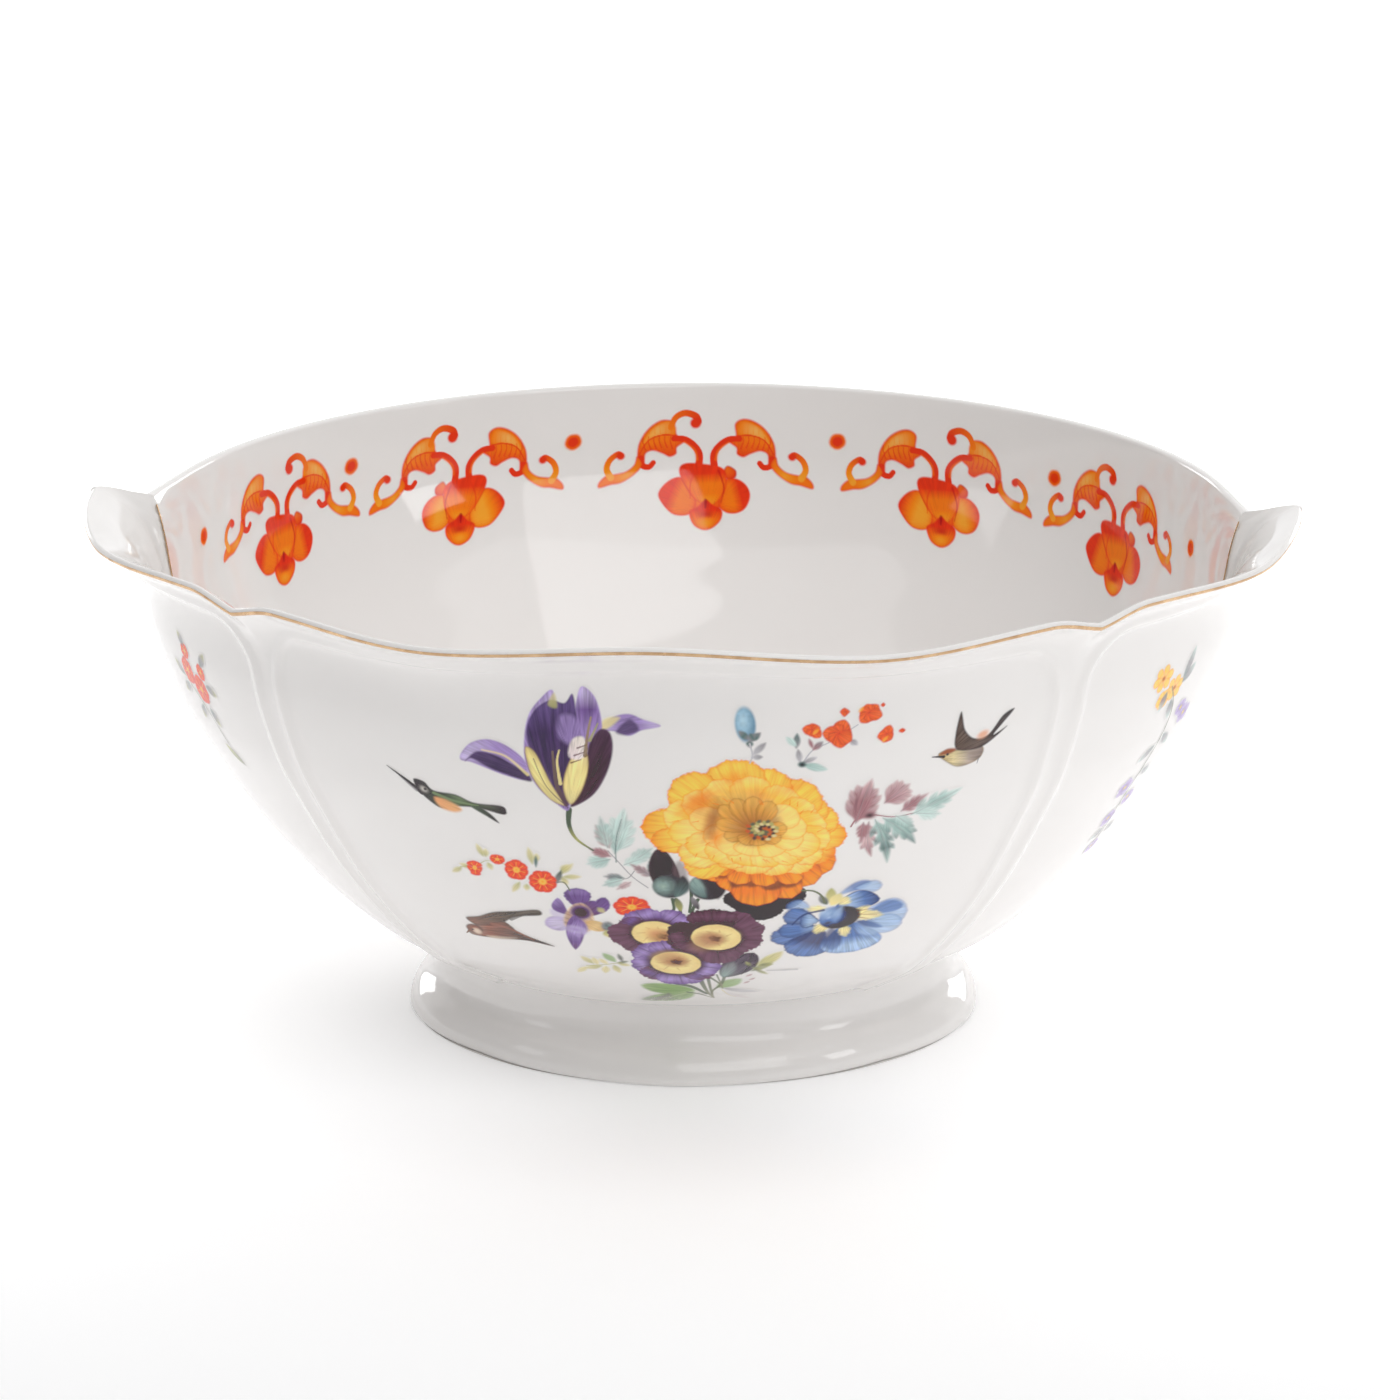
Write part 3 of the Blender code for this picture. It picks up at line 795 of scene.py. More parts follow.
def paintMarigold(sheet):
    heart = (23, 90)
    for base, tip, width in (((24, 72), (19, 61), 12), ((26, 74), (31, 62), 12), ((22, 68), (24, 57.5), 12),
                             ((20, 70), (16.5, 63), 7)):
        leaf(sheet, base, tip, width, tones("night", "night"), belly=1.3, blunt=0.55, soft=0.25, ragged=0.2)
    for tip, width, back in (((41.5, 76), 11, "amber"), ((37, 71), 10, "orange"),
            ((11.5, 73), 9, "orange"), ((31.2, 66), 9, "orange"), ((16.5, 68.8), 10, "orange"),
            ((22.5, 63.4), 12, "orange")):
        leaf(sheet, heart, tip, width, tones("rust", "rust", "rust", back, "orange", "amber"), belly=2.6,
            blunt=0.55, rim=hue["rust"], rimWidth=0.35, streak=0.35, teeth=0.03)
    for base, tip, width in (((17, 79), (12, 74.6), 6), ((20, 77), (17, 70.5), 5), ((27, 75), (25, 69.5), 7),
                             ((32, 77), (30, 70), 6), ((22, 76), (21, 70.6), 6)):
        leaf(sheet, base, tip, width, tones("brown", "night"), blunt=0.7, cover=0.75, soft=0.7)
    for tip, width in (((18, 71.6), 6.5), ((25, 70.8), 7), ((32.5, 71.5), 7), ((13, 75), 6)):
        leaf(sheet, heart, tip, width, tones("rust", "rust", "orange", "orange", "amber"), belly=3.2,
            blunt=0.5, rim=hue["rust"], rimWidth=0.3, streak=0.4)
    for tip, width, last in (((7, 74.8), 9.5, "yellow"), ((42.2, 81), 10, "orange"),
            ((45.6, 88), 10, "amber"), ((43.5, 94.5), 10, "yellow"), ((40.4, 99.4), 10, "yellow"),
            ((37.5, 104.6), 12, "yellow"), ((27.6, 109.4), 11, "yellow"), ((16.5, 111.4), 15, "yellow"),
            ((4, 105.4), 13, "yellow"), ((-4, 91.5), 12, "amber"), ((-1.8, 86.2), 9, "amber")):
        leaf(sheet, heart, tip, width, tones("rust", "orange", "amber", "yellow", "yellow", last),
            belly=2.3, blunt=0.5, rim=hue["orange"], rimWidth=0.4, streak=0.28, teeth=0.04, ragged=0.25)
    for tip, width in (((36, 76.2), 9), ((29, 75), 9), ((21, 75.2), 10), ((14.5, 78), 8), ((39, 80), 8),
            ((5, 80), 10)):
        leaf(sheet, heart, tip, width, tones("amber", "yellow", "yellow", "yellow", "paleYellow",
            "yellow"), belly=2.4, blunt=0.5, rim=hue["orange"], rimWidth=0.3, streak=0.22, teeth=0.05,
            ragged=0.25)
    for tip, width in (((1.5, 96), 11), ((6.5, 101), 9), ((13, 105.5), 10), ((22, 107.4), 10),
            ((31.5, 104), 10), ((37.4, 98.5), 10), ((40.5, 92.5), 10), ((41.5, 86.8), 9)):
        leaf(sheet, heart, tip, width, tones("amber", "amber", "yellow", "yellow", "paleYellow"),
            belly=2.2, blunt=0.5, rim=hue["amber"], rimWidth=0.25, streak=0.22, teeth=0.05, ragged=0.2)
    for tip, width in (((2.4, 89.5), 9), ((6.5, 84), 9), ((12, 80.5), 9), ((19.5, 78.5), 9),
            ((27, 78), 9), ((34, 80), 9), ((38.5, 84), 9)):
        leaf(sheet, heart, tip, width, tones("amber", "yellow", "paleYellow", "paleYellow", "yellow"),
            belly=2.2, blunt=0.5, rim=hue["amber"], rimWidth=0.25, streak=0.18, teeth=0.05, ragged=0.2)
    for tip, width in (((7.5, 95.5), 8), ((10.5, 88), 8), ((14, 84), 8), ((21, 82), 8), ((29, 82.5), 8),
            ((34.5, 87), 8), ((35.5, 92.5), 8), ((33, 97.5), 8)):
        leaf(sheet, heart, tip, width, tones("amber", "yellow", "paleYellow", "paleYellow"), belly=2.0,
            blunt=0.55, rim=hue["amber"], rimWidth=0.22, streak=0.16, teeth=0.05)
    for centre, ru, rv, turn, tone, cover in (((9.5, 99.5), 4.4, 1.9, 40, "orange", 0.75),
            ((18, 106.5), 2.6, 1.5, 10, "orange", 0.55), ((24, 101.5), 1.6, 2.6, 70, "orange", 0.35),
            ((32, 104), 2.8, 0.9, 20, "orange", 0.5), ((13.5, 88), 1.3, 2.2, 0, "orange", 0.7),
            ((10.5, 97), 3.4, 1.3, 60, "rust", 0.35), ((12.6, 93.4), 1.7, 5.6, -14, "rust", 0.6),
            ((13.4, 94.4), 1.4, 4.6, -14, "brown", 0.6), ((19, 97.6), 4.4, 3.0, 30, "brown", 0.4),
            ((24, 95.5), 5.0, 4.6, 0, "tan", 0.6), ((22.6, 92), 6.0, 6.2, 0, "brown", 0.38),
            ((20, 101), 6.5, 2.6, 0, "tan", 0.3), ((16, 93), 1.6, 4.8, -12, "amber", 0.7),
            ((18, 93), 1.7, 4.6, -12, "tan", 0.8), ((23.5, 88.5), 5.0, 2.4, 12, "brown", 0.6)):
        spot(sheet, centre, ru, rv, [hue[tone]], turn=turn, soft=1.5, cover=cover, wave=0.12, waves=9)
    for tip, width, cover in (((14.6, 98.4), 4.6, 0.8), ((18, 100.6), 4.8, 0.8), ((22.6, 101.4), 5, 0.8),
            ((27, 100), 5, 0.8), ((15.4, 88.6), 4.4, 0.8), ((19.4, 86.4), 4.4, 0.85),
            ((24, 85.6), 4.6, 0.85), ((29, 87.4), 4.6, 0.85), ((30.6, 92), 4.6, 0.8),
            ((13.6, 93.4), 4.4, 0.7)):
        leaf(sheet, heart, tip, width, [hue["brown"], (176, 112, 52), (214, 152, 66), (232, 176, 84)],
            belly=2.0, blunt=0.6, rim=(170, 104, 44), rimWidth=0.25, streak=0.35, teeth=0.06, cover=cover)
    for k in range(46):
        a, d = k * 2.4, 4.0 * math.sqrt((k + 0.5) / 46)
        place = (24.6 + d * math.cos(a) * 0.95, 90.8 + d * math.sin(a) * 0.8)
        tone = ("darkGreen", "night", "olive", "rust", "straw")[k % 5]
        spot(sheet, place, 0.62, 0.46, [hue[tone]], turn=37 * k, soft=0.25, cover=0.9)
    for k in range(26):
        a = k * 0.2417 * 2
        place = np.array(heart) + np.array([math.cos(a) * (15 + 5 * math.sin(3.1 * k)),
            math.sin(a) * (12 + 3 * math.cos(5.3 * k))])
        vein(sheet, [place, place + (np.array([math.cos(a + 0.5), math.sin(a + 0.5)]) * 1.5)],
            hue["orange"], 0.32, 0.12, cover=0.7)


def paintEye(sheet, centre, radius, glow, dark):
    # the pale eye of an auricula, lit on one side and with its dark middle
    x, y = centre
    spot(sheet, centre, radius + 1.0, radius + 1.0, tones("plum", "plum"), soft=1.2, cover=0.9)
    spot(sheet, centre, radius, radius * 0.98, [hue["tan"], hue["tan"], (214, 180, 122), (236, 214, 146),
        (232, 206, 140)], shift=(-glow[0] * 0.45, -glow[1] * 0.45), soft=0.22, wave=0.012, waves=11,
        mottle=0.08)
    spot(sheet, (x + glow[0] * radius * 0.55, y + glow[1] * radius * 0.55), radius * 0.42, radius * 0.36,
        tones("cream", "cream"), soft=1.6, cover=0.8)
    spot(sheet, (x + dark[0], y + dark[1]), radius * 0.46, radius * 0.42, [hue["brown"], (172, 112, 76)],
        soft=1.3, cover=0.75, mottle=0.4)
    for k in range(11):
        a = 2.4 * k
        place = (x + dark[0] + math.cos(a) * radius * 0.05 * k**0.6,
            y + dark[1] + math.sin(a) * radius * 0.045 * k**0.6)
        spot(sheet, place, 0.55, 0.42, [(84, 40, 26)], turn=50 * k, soft=0.3, cover=0.85)
    for k in range(7):
        a = 0.9 * k + 0.3
        r0, r1 = radius * 0.45, radius * (0.7 + 0.12 * math.sin(5 * k))
        vein(sheet, [(x + r0 * math.cos(a), y + r0 * math.sin(a)),
            (x + r1 * math.cos(a + 0.12), y + r1 * math.sin(a + 0.12))], (176, 122, 76), 0.5, 0.15,
            cover=0.4, soft=0.4)


def auriculaPetal(sheet, base, tip, width, dark, light):
    leaf(sheet, base, tip, width, [hue["plum"], hue["plum"], hue[dark], hue[light], hue[dark]],
        belly=1.9, blunt=0.5, teeth=0.04, rim=hue[dark], rimWidth=0.3, streak=0.35, ragged=0.3, soft=0.25)
    base, tip = np.array(base, float), np.array(tip, float)
    vein(sheet, [base + (tip - base) * 0.45, base + (tip - base) * 0.93], hue["plum"], 0.5, 0.2,
        cover=0.6, soft=0.4)


def paintAuriculas(sheet):
    for base, tip, width, dark, light in (((-2, 52), (4.5, 61), 8, "violet", "lilac"),
            ((-2, 52), (-6.5, 61.4), 10, "violet", "lilac"), ((-2, 52), (-10.3, 57), 7, "plumMid",
            "violet"), ((-2, 52), (-13.6, 50), 10, "plumMid", "plumMid"),
            ((-2, 52), (-9.6, 43.6), 8.5, "plumMid", "plumMid"),
            ((-2, 52), (-2, 43), 8, "violet", "violet")):
        auriculaPetal(sheet, base, tip, width, dark, light)
    paintEye(sheet, (-2.2, 51.6), 5.5, (-0.6, 0.5), (1.6, -1.0))
    spot(sheet, (-2.6, 52.0), 2.4, 2.6, [(214, 140, 96), (226, 176, 112)], soft=1.6, cover=0.6)
    for base, tip, width, dark, light in (((2, 38), (-6.8, 45.4), 10, "violet", "lilac"),
            ((2, 38), (-1, 48.4), 8, "violet", "lilac"), ((2, 38), (-8.4, 34.6), 9.5, "violet", "lilac"),
            ((2, 38), (-4.8, 28.2), 9, "plumMid", "violet"), ((2, 38), (3.2, 24.8), 11.5, "violet",
            "lilac"), ((2, 38), (9.6, 28.6), 7, "plumMid", "violet"),
            ((2, 38), (12.8, 34.4), 9.5, "violet", "lilac")):
        auriculaPetal(sheet, base, tip, width, dark, light)
    for base, tip, width, dark, light in (((12, 50), (1, 54.5), 8, "plum", "plum"),
            ((12, 50), (0.6, 47.4), 9, "plum", "plumMid"), ((12, 50), (6.2, 40.4), 9, "plumMid",
            "plumMid"), ((12, 50), (12.6, 37.2), 10, "plumMid", "plumMid"),
            ((12, 50), (18.6, 42), 8, "plumMid", "plumMid"), ((12, 50), (23.6, 48.4), 9.5, "plumMid",
            "plumMid"), ((12, 50), (24, 55.5), 7, "plumMid", "plumMid"),
            ((12, 50), (20.4, 60.4), 9, "plumMid", "plumMid"),
            ((12, 50), (11.6, 62.4), 12, "plum", "plumMid")):
        auriculaPetal(sheet, base, tip, width, dark, light)
    paintEye(sheet, (12.3, 50.1), 5.95, (0.75, 0.35), (-0.3, -0.4))
    spot(sheet, (9.2, 47.6), 2.6, 4.2, [(190, 142, 108), (190, 142, 108)], turn=-30, soft=1.8, cover=0.4)
    paintEye(sheet, (2.1, 37.4), 6.0, (0.25, -0.75), (0.2, 0.7))
    spot(sheet, (-0.6, 41.2), 3.0, 2.2, [(204, 164, 112), (204, 164, 112)], turn=30, soft=1.4, cover=0.5)


def paintAnemone(sheet):
    for base, tip, width, tints, bend in (((43, 66), (51.6, 69.8), 3.4, ("paleBlue", "blue", "blue"),
            -0.05), ((47, 68), (54.5, 67.8), 4.5, ("paleBlue", "paleBlue"), 0.0),
            ((36, 60), (30, 63.6), 5, ("paleBlue", "paleBlue", "blue"), 0.1),
            ((47, 56), (61.6, 54.8), 13, ("paleBlue", "paleBlue", "paleBlue", "paleBlue"), 0.0),
            ((50, 56), (60.4, 58.2), 5.5, ("blue", "blue", "blue"), -0.1),
            ((46, 53), (60, 49.2), 9, ("blue", "paleBlue", "paleBlue"), 0.0)):
        leaf(sheet, base, tip, width, tones(*tints), bend=bend, belly=1.7, blunt=0.55, rim=hue["blue"],
            rimWidth=0.35, streak=0.3, soft=0.6, cover=0.85)
    for base, tip, width, tints in (((38, 56), (29, 59.6), 7.5, ("deepBlue", "blue", "blue", "blue")),
            ((39, 54), (25.6, 47.8), 8.5, ("paleBlue", "blue", "blue", "blue")),
            ((38, 53), (27.4, 52), 7, ("paleBlue", "blue", "blue")),
            ((38, 56), (33, 56.5), 6.5, ("paleBlue", "paleBlue", "blue")),
            ((39, 53), (31.8, 39.4), 11.5, ("deepBlue", "deepBlue", "deepBlue", "blue", "blue"))):
        leaf(sheet, base, tip, width, tones(*tints), belly=1.8, blunt=0.55, rim=hue["deepBlue"],
            rimWidth=0.5, streak=0.45, soft=0.4, ragged=0.2, cover=0.95)
    leaf(sheet, (45, 55), (46.5, 38.4), 16.5, tones("deepBlue", "blue", "blue", "paleBlue", "paleBlue"),
        belly=1.9, blunt=0.5, rim=hue["blue"], rimWidth=0.5, streak=0.5, soft=0.5)
    leaf(sheet, (41, 53), (40.8, 40.6), 5.5, tones("deepBlue", "deepBlue", "blue"), belly=1.3, blunt=0.7,
        streak=0.4, soft=0.9, cover=0.8)
    leaf(sheet, (47, 53), (53, 46), 5, tones("blue", "paleBlue", "paleBlue"), belly=1.2, blunt=0.7,
        streak=0.4, soft=0.9, cover=0.7)
    leaf(sheet, (47.5, 54), (54.5, 49), 2.6, tones("deepBlue", "blue"), blunt=0.7, soft=0.7, cover=0.85)
    leaf(sheet, (42, 61), (54, 62.4), 7.4, tones("blue", "paleBlue", "blue", "deepBlue"), belly=1.3,
        blunt=0.6, bend=-0.12, rim=hue["deepBlue"], rimWidth=0.5, streak=0.45)
    for base, tip, width in (((46, 57), (54.8, 55), 4.4), ((46, 56), (51, 60), 3.4),
            ((40, 55), (36.5, 50.2), 3.6), ((44, 53), (44.5, 47.2), 3.2), ((40, 61), (34.6, 61.4), 2.4),
            ((43, 62), (46, 64.6), 3.4)):
        leaf(sheet, base, tip, width, tones("straw", "cream", "straw"), blunt=0.8, streak=0.5, soft=0.6,
            ragged=0.3, cover=0.9)
    spot(sheet, (43.2, 56.4), 5.5, 4.7, tones("paleBlue", "blue", "blue", "deepBlue", "night"), turn=25,
        shift=(-0.42, 0.4), soft=0.4, mottle=0.2)
    leaf(sheet, (43, 61.6), (38.6, 55), 3, tones("blue", "paleBlue", "blue"), bend=0.18, blunt=0.8,
        soft=0.6, cover=0.9)
    leaf(sheet, (44, 61.4), (42, 54), 2.4, tones("paleBlue", "paleBlue", "blue"), bend=0.1, blunt=0.8,
        soft=0.8, cover=0.75)
    for x, y in ((41.4, 53.4), (43.6, 52.8), (46.2, 53.8), (47.6, 56.4), (48, 58.6), (40, 54.6)):
        spot(sheet, (x, y), 0.9, 0.6, tones("night", "night"), turn=20, soft=0.5, cover=0.8)
    for x0, y0, x1, y1 in ((48, 57, 53, 55.4), (47.6, 58.4, 52, 58.6), (48, 55.6, 51.6, 53.6)):
        vein(sheet, [(x0, y0), (x1, y1)], hue["brown"], 0.3, 0.15, cover=0.7)
    vein(sheet, [(31, 55), (34, 59), (39, 60.4)], hue["deepBlue"], 0.5, 0.9, cover=0.85, soft=0.4)
    leaf(sheet, (41, 63), (41.2, 69), 2.8, tones("straw", "olive"), blunt=0.7, soft=0.5)
    leaf(sheet, (41, 62), (43.6, 66.6), 3.2, tones("cream", "straw"), blunt=0.7, soft=0.5)
    leaf(sheet, (40, 62.6), (38.2, 66.4), 2.2, tones("darkGreen", "grey"), blunt=0.7, soft=0.4)
    vein(sheet, [(33.8, 68.9), (36.6, 68.4), (38.6, 66.4), (39.4, 63.6)], hue["stem"], 0.6, 0.7)


def paintRedFlower(sheet, centre, ru, rv, count, turn=0.0, heart=0.36):
    # a ring of small round petals with darker gaps and a yellow heart
    x, y = centre
    for k in range(count):
        a = 2 * math.pi * (k + 0.5) / count + math.radians(turn)
        tip = (x + ru * math.cos(a), y + rv * math.sin(a))
        leaf(sheet, centre, tip, 2.5 * (ru + rv) / count * 1.15,
            tones("scarlet", "red", "scarlet", "red"), belly=2.0, blunt=0.5, rim=hue["red"],
            rimWidth=0.25, streak=0.3, teeth=0.05)
        mid = (x + ru * 0.72 * math.cos(a), y + rv * 0.72 * math.sin(a))
        vein(sheet, [centre, mid], hue["yellow"], 0.28, 0.12, cover=0.75, soft=0.25)
    spot(sheet, centre, ru * heart, rv * heart, tones("amber", "yellow", "scarlet"), soft=0.4, wave=0.1)


def paintSmallFlowers(sheet):
    for base, tip in (((-48, 73), (-51, 73.8)), ((-50.5, 72.6), (-53.4, 70)), ((-44, 78), (-45.6, 82.4)),
            ((-43.4, 78), (-43.2, 81)), ((-31, 77), (-31.8, 83)), ((-30, 78), (-29.8, 81)),
            ((-24, 74), (-20.8, 78)), ((-23.6, 73), (-19, 73.4)), ((-24, 73), (-22.4, 70.4)),
            ((-24, 75.2), (-22, 77.6)), ((-34.8, 70), (-37, 65.8)), ((-33, 69.4), (-33.2, 67)),
            ((-15.4, 62), (-14, 60)), ((-43, 76), (-42, 73.4))):
        leaf(sheet, base, tip, 1.7, tones("olive", "straw"), blunt=0.8, soft=0.5, cover=0.85, streak=0.3)
    vein(sheet, [(-51, 72.6), (-46, 74.6), (-43, 76.6), (-38, 76)], hue["olive"], 0.3, 0.3, cover=0.7)
    vein(sheet, [(-26, 70.6), (-23.4, 71), (-22, 68)], hue["stem"], 0.4, 0.4)
    leaf(sheet, (-25.6, 70), (-23.8, 75.4), 1.6, tones("grey", "darkGreen"), blunt=0.8, soft=0.4)
    leaf(sheet, (-30.2, 76), (-30, 80), 0.9, tones("darkTeal", "darkTeal"), blunt=0.8, soft=0.4)
    paintRedFlower(sheet, (-46.8, 73.2), 2.0, 3.0, 5, 20)
    paintRedFlower(sheet, (-40.3, 77.6), 2.1, 1.8, 5, 50)
    paintRedFlower(sheet, (-35.4, 74.4), 3.2, 3.9, 7, 10)
    paintRedFlower(sheet, (-28.8, 70.8), 3.7, 4.3, 8)
    paintRedFlower(sheet, (-7.2, 62.6), 4.6, 4.2, 8, 15, 0.3)


def paintBellflower(sheet):
    leaf(sheet, (-21, 56), (-29.2, 53), 6.4, tones("lilac", "paleLilac", "paleLilac"), belly=1.5,
        blunt=0.6, streak=0.3, rim=hue["lilac"], soft=0.5, cover=0.9)
    leaf(sheet, (-22, 57), (-27.6, 60), 4.6, tones("paleLilac", "paleLilac"), belly=1.3, blunt=0.7,
        soft=0.7, cover=0.7)
    leaf(sheet, (-22, 58), (-25.4, 65), 3.6, tones("violet", "violet", "lilac"), belly=1.4, blunt=0.7,
        bend=-0.2, streak=0.3)
    leaf(sheet, (-20, 60), (-20.4, 69.2), 6.6, tones("plumMid", "violet", "violet", "lilac"), belly=1.9,
        blunt=0.55, teeth=0.07, rim=hue["violet"], streak=0.45)
    leaf(sheet, (-18, 58), (-13.4, 66), 4, tones("plumMid", "violet", "violet"), belly=1.5, blunt=0.6,
        bend=0.08, teeth=0.05, streak=0.4)
    leaf(sheet, (-19.4, 59), (-16, 64.6), 3.6, tones("plumMid", "violet"), belly=1.5, blunt=0.7, streak=0.4)
    fill(sheet, [(-23.8, 52.6), (-24.2, 57), (-22.2, 61.8), (-19.4, 63.4), (-17.4, 61), (-16.6, 56.6),
        (-17.4, 52.4), (-20, 51)], [(206, 168, 124), (190, 148, 108), (168, 128, 104)],
        axis=((-17, 54), (-24, 58)), rim=(214, 184, 140), rimWidth=0.6, streak=0.5, soft=0.5, cover=0.85)
    leaf(sheet, (-19, 55.6), (-13.6, 52.6), 4.6, [hue["tan"], (222, 190, 134), hue["tan"]], blunt=0.6,
        streak=0.3, soft=0.4)
    spot(sheet, (-19.8, 59.6), 2.6, 2.9, tones("plum", "plum", "violet"), soft=0.7)
    leaf(sheet, (-21.4, 58.4), (-22.2, 42.2), 4.6, tones("violet", "violet", "lilac", "violet",
        "plumMid"), belly=0.85, blunt=0.75, rim=hue["violet"], streak=0.5)
    leaf(sheet, (-20.2, 57), (-21, 48.4), 4.2, tones("violet", "lilac", "lilac"), blunt=0.7, streak=0.5,
        soft=0.5)
    spot(sheet, (-21.6, 52), 3.0, 1.4, tones("lilac", "paleLilac"), turn=-15, soft=0.9, cover=0.7)
    spot(sheet, (-13.4, 54.2), 1.6, 2.1, tones("darkTeal", "grey"), soft=0.5, mottle=0.4)
    leaf(sheet, (-14, 52.4), (-13.2, 49.2), 2.4, tones("olive", "straw"), blunt=0.7, soft=0.5)


def paintDarkBuds(sheet):
    for points in ([(3.4, 66), (4.2, 62), (4.4, 59)], [(8.6, 66), (7.4, 62.6), (6.4, 58)],
            [(7.2, 71), (7, 66), (6.4, 61)], [(2.6, 66), (2.8, 62.4), (2, 60)]):
        vein(sheet, points, hue["darkGreen"], 0.9, 0.7)
    leaf(sheet, (4.4, 61.4), (3.6, 66.4), 1.8, tones("olive", "stem"), blunt=0.7)
    leaf(sheet, (8.6, 62), (7.2, 67), 1.6, tones("night", "grey"), blunt=0.7)
    leaf(sheet, (3.2, 66.6), (0.2, 84.4), 7.0, tones("darkTeal", "night", "night", "night"), belly=0.95,
        blunt=0.55, bend=-0.04, streak=0.4, rim=(70, 52, 58), rimWidth=0.6)
    leaf(sheet, (4.6, 70), (4.8, 80), 3.6, [(86, 66, 74), (110, 88, 92)], blunt=0.6, streak=0.5,
        soft=0.8, cover=0.6)
    spot(sheet, (1.9, 70.6), 3.9, 4.2, [(150, 172, 162), (128, 150, 144), (96, 112, 110), (64, 62, 68)],
        shift=(-0.35, 0.0), soft=0.4, mottle=0.3)
    leaf(sheet, (3.4, 66.8), (5.4, 74.6), 3.4, tones("darkTeal", "night"), blunt=0.6, streak=0.4,
        soft=0.5, bend=0.1)
    spot(sheet, (11, 70.6), 4.4, 4.7, [(140, 158, 152), (110, 124, 122), (74, 74, 80), (54, 48, 54)],
        shift=(-0.5, 0.1), soft=0.4, mottle=0.3)
    leaf(sheet, (13.4, 66.2), (9.6, 75.4), 4, tones("night", "night"), blunt=0.6, streak=0.4, soft=0.6,
        bend=0.1, cover=0.85)
    leaf(sheet, (10.4, 66.6), (8.2, 74), 3, tones("darkTeal", "teal"), blunt=0.6, streak=0.4, soft=0.6,
        bend=-0.1, cover=0.85)


def paintLeaves(sheet):
    def soft(base, tip, width, *names, bend=0.0, cover=1.0):
        # a cut leaf: a narrow blade with pointed lobes set off at 35 degrees on both sides
        base, tip = np.array(base, float), np.array(tip, float)
        run = tip - base
        size = np.hypot(*run)
        across = np.array([run[1], -run[0]]) / size
        for at, reach in ((0.2, 0.62), (0.42, 0.6), (0.63, 0.42)):
            for side in (-1, 1):
                start = base + run * (at - 0.12) + across * bend * size * 2 * at
                end = base + run * (at + reach * width / size * 0.75) + across * (side * reach * width
                    * 0.8 + bend * size * 2 * at)
                leaf(sheet, start, end, width * 0.34, tones(*names), belly=1.2, blunt=0.8, streak=0.45,
                    soft=0.5, cover=cover * 0.9)
        leaf(sheet, base, tip, width * 0.5, tones(*names), bend=bend, blunt=0.8, streak=0.45, soft=0.6,
            cover=cover)
        vein(sheet, [base, base + run * 0.5 + across * bend * size, base + run * 0.92], hue["grey"], 0.3,
            0.12, cover=0.4)

    soft((-10.4, 82), (-7.6, 97), 7.6, "teal", "paleTeal", "paleTeal", cover=0.85)
    vein(sheet, [(-10.2, 79), (-10, 86), (-8.4, 93.6)], hue["darkTeal"], 0.4, 0.2, cover=0.7)
    soft((-11.6, 84), (-14.6, 91.6), 3.4, "mauve", "mauve", "paleMauve")
    soft((-12, 84), (-13.4, 94.4), 4.4, "paleTeal", "teal", cover=0.7)
    soft((-11.6, 80), (-17.4, 78), 4.6, "teal", "paleTeal", cover=0.85)
    soft((-11.4, 81), (-16.4, 83.6), 3.0, "mauve", "mauve")
    soft((-6.6, 79), (-1.4, 84.2), 4.2, "paleTeal", "teal", cover=0.75)
    soft((-8.4, 78), (-4, 80.6), 3.4, "paleTeal", "paleTeal", cover=0.7)
    vein(sheet, [(-12, 83), (-9.6, 79), (-6.6, 74), (-3, 70)], hue["grey"], 0.3, 0.35, cover=0.8)
    soft((-8.6, 73.4), (-13.4, 73.8), 2.6, "darkTeal", "grey")
    soft((-8.8, 72.8), (-13.8, 70.4), 3.0, "paleTeal", "teal", cover=0.8)
    soft((-7, 72), (-10.4, 69.2), 1.8, "paleMauve", "mauve", cover=0.8)
    soft((-1.6, 74), (-6.8, 78.4), 2.6, "grey", "mauve")
    soft((-1.8, 75), (-2.4, 79.4), 1.6, "grey", "darkTeal")
    vein(sheet, [(-6, 76), (-7.4, 73.6), (-8.8, 73)], hue["grey"], 0.3, 0.3, cover=0.8)
    vein(sheet, [(46.4, 91), (48, 93.4), (52, 94.2), (58, 92.6), (66, 93.4)], hue["mauve"], 0.5, 0.3)
    soft((47.6, 92), (51.8, 105.4), 8.6, "mauve", "mauve", "paleMauve", bend=-0.02)
    soft((55, 97.6), (61.6, 102.4), 7.0, "mauve", "paleMauve")
    soft((59.4, 94.2), (66.6, 98.6), 4.0, "mauve", "mauve", "paleMauve")
    soft((62, 92.4), (76, 98.4), 6.0, "paleTeal", "teal", "paleTeal", cover=0.85)
    soft((63.6, 92.6), (70.4, 91), 4.4, "paleTeal", "paleTeal", cover=0.75)
    soft((51, 92), (51.6, 79.4), 4.6, "mauve", "paleMauve", "mauve", bend=0.06)
    soft((49.6, 92), (49, 85.6), 3.0, "mauve", "mauve")
    soft((52.6, 92.6), (55.8, 76.2), 5.4, "teal", "teal", "darkTeal", "teal", bend=-0.05, cover=0.9)
    soft((54.6, 92.8), (63.4, 81.8), 6.2, "teal", "teal", "darkTeal", bend=-0.06, cover=0.9)
    soft((58, 93), (63, 87.8), 3.6, "paleTeal", "teal", cover=0.8)
    spot(sheet, (51.2, 94.2), 1.7, 1.2, tones("night", "mauve"), soft=0.8)


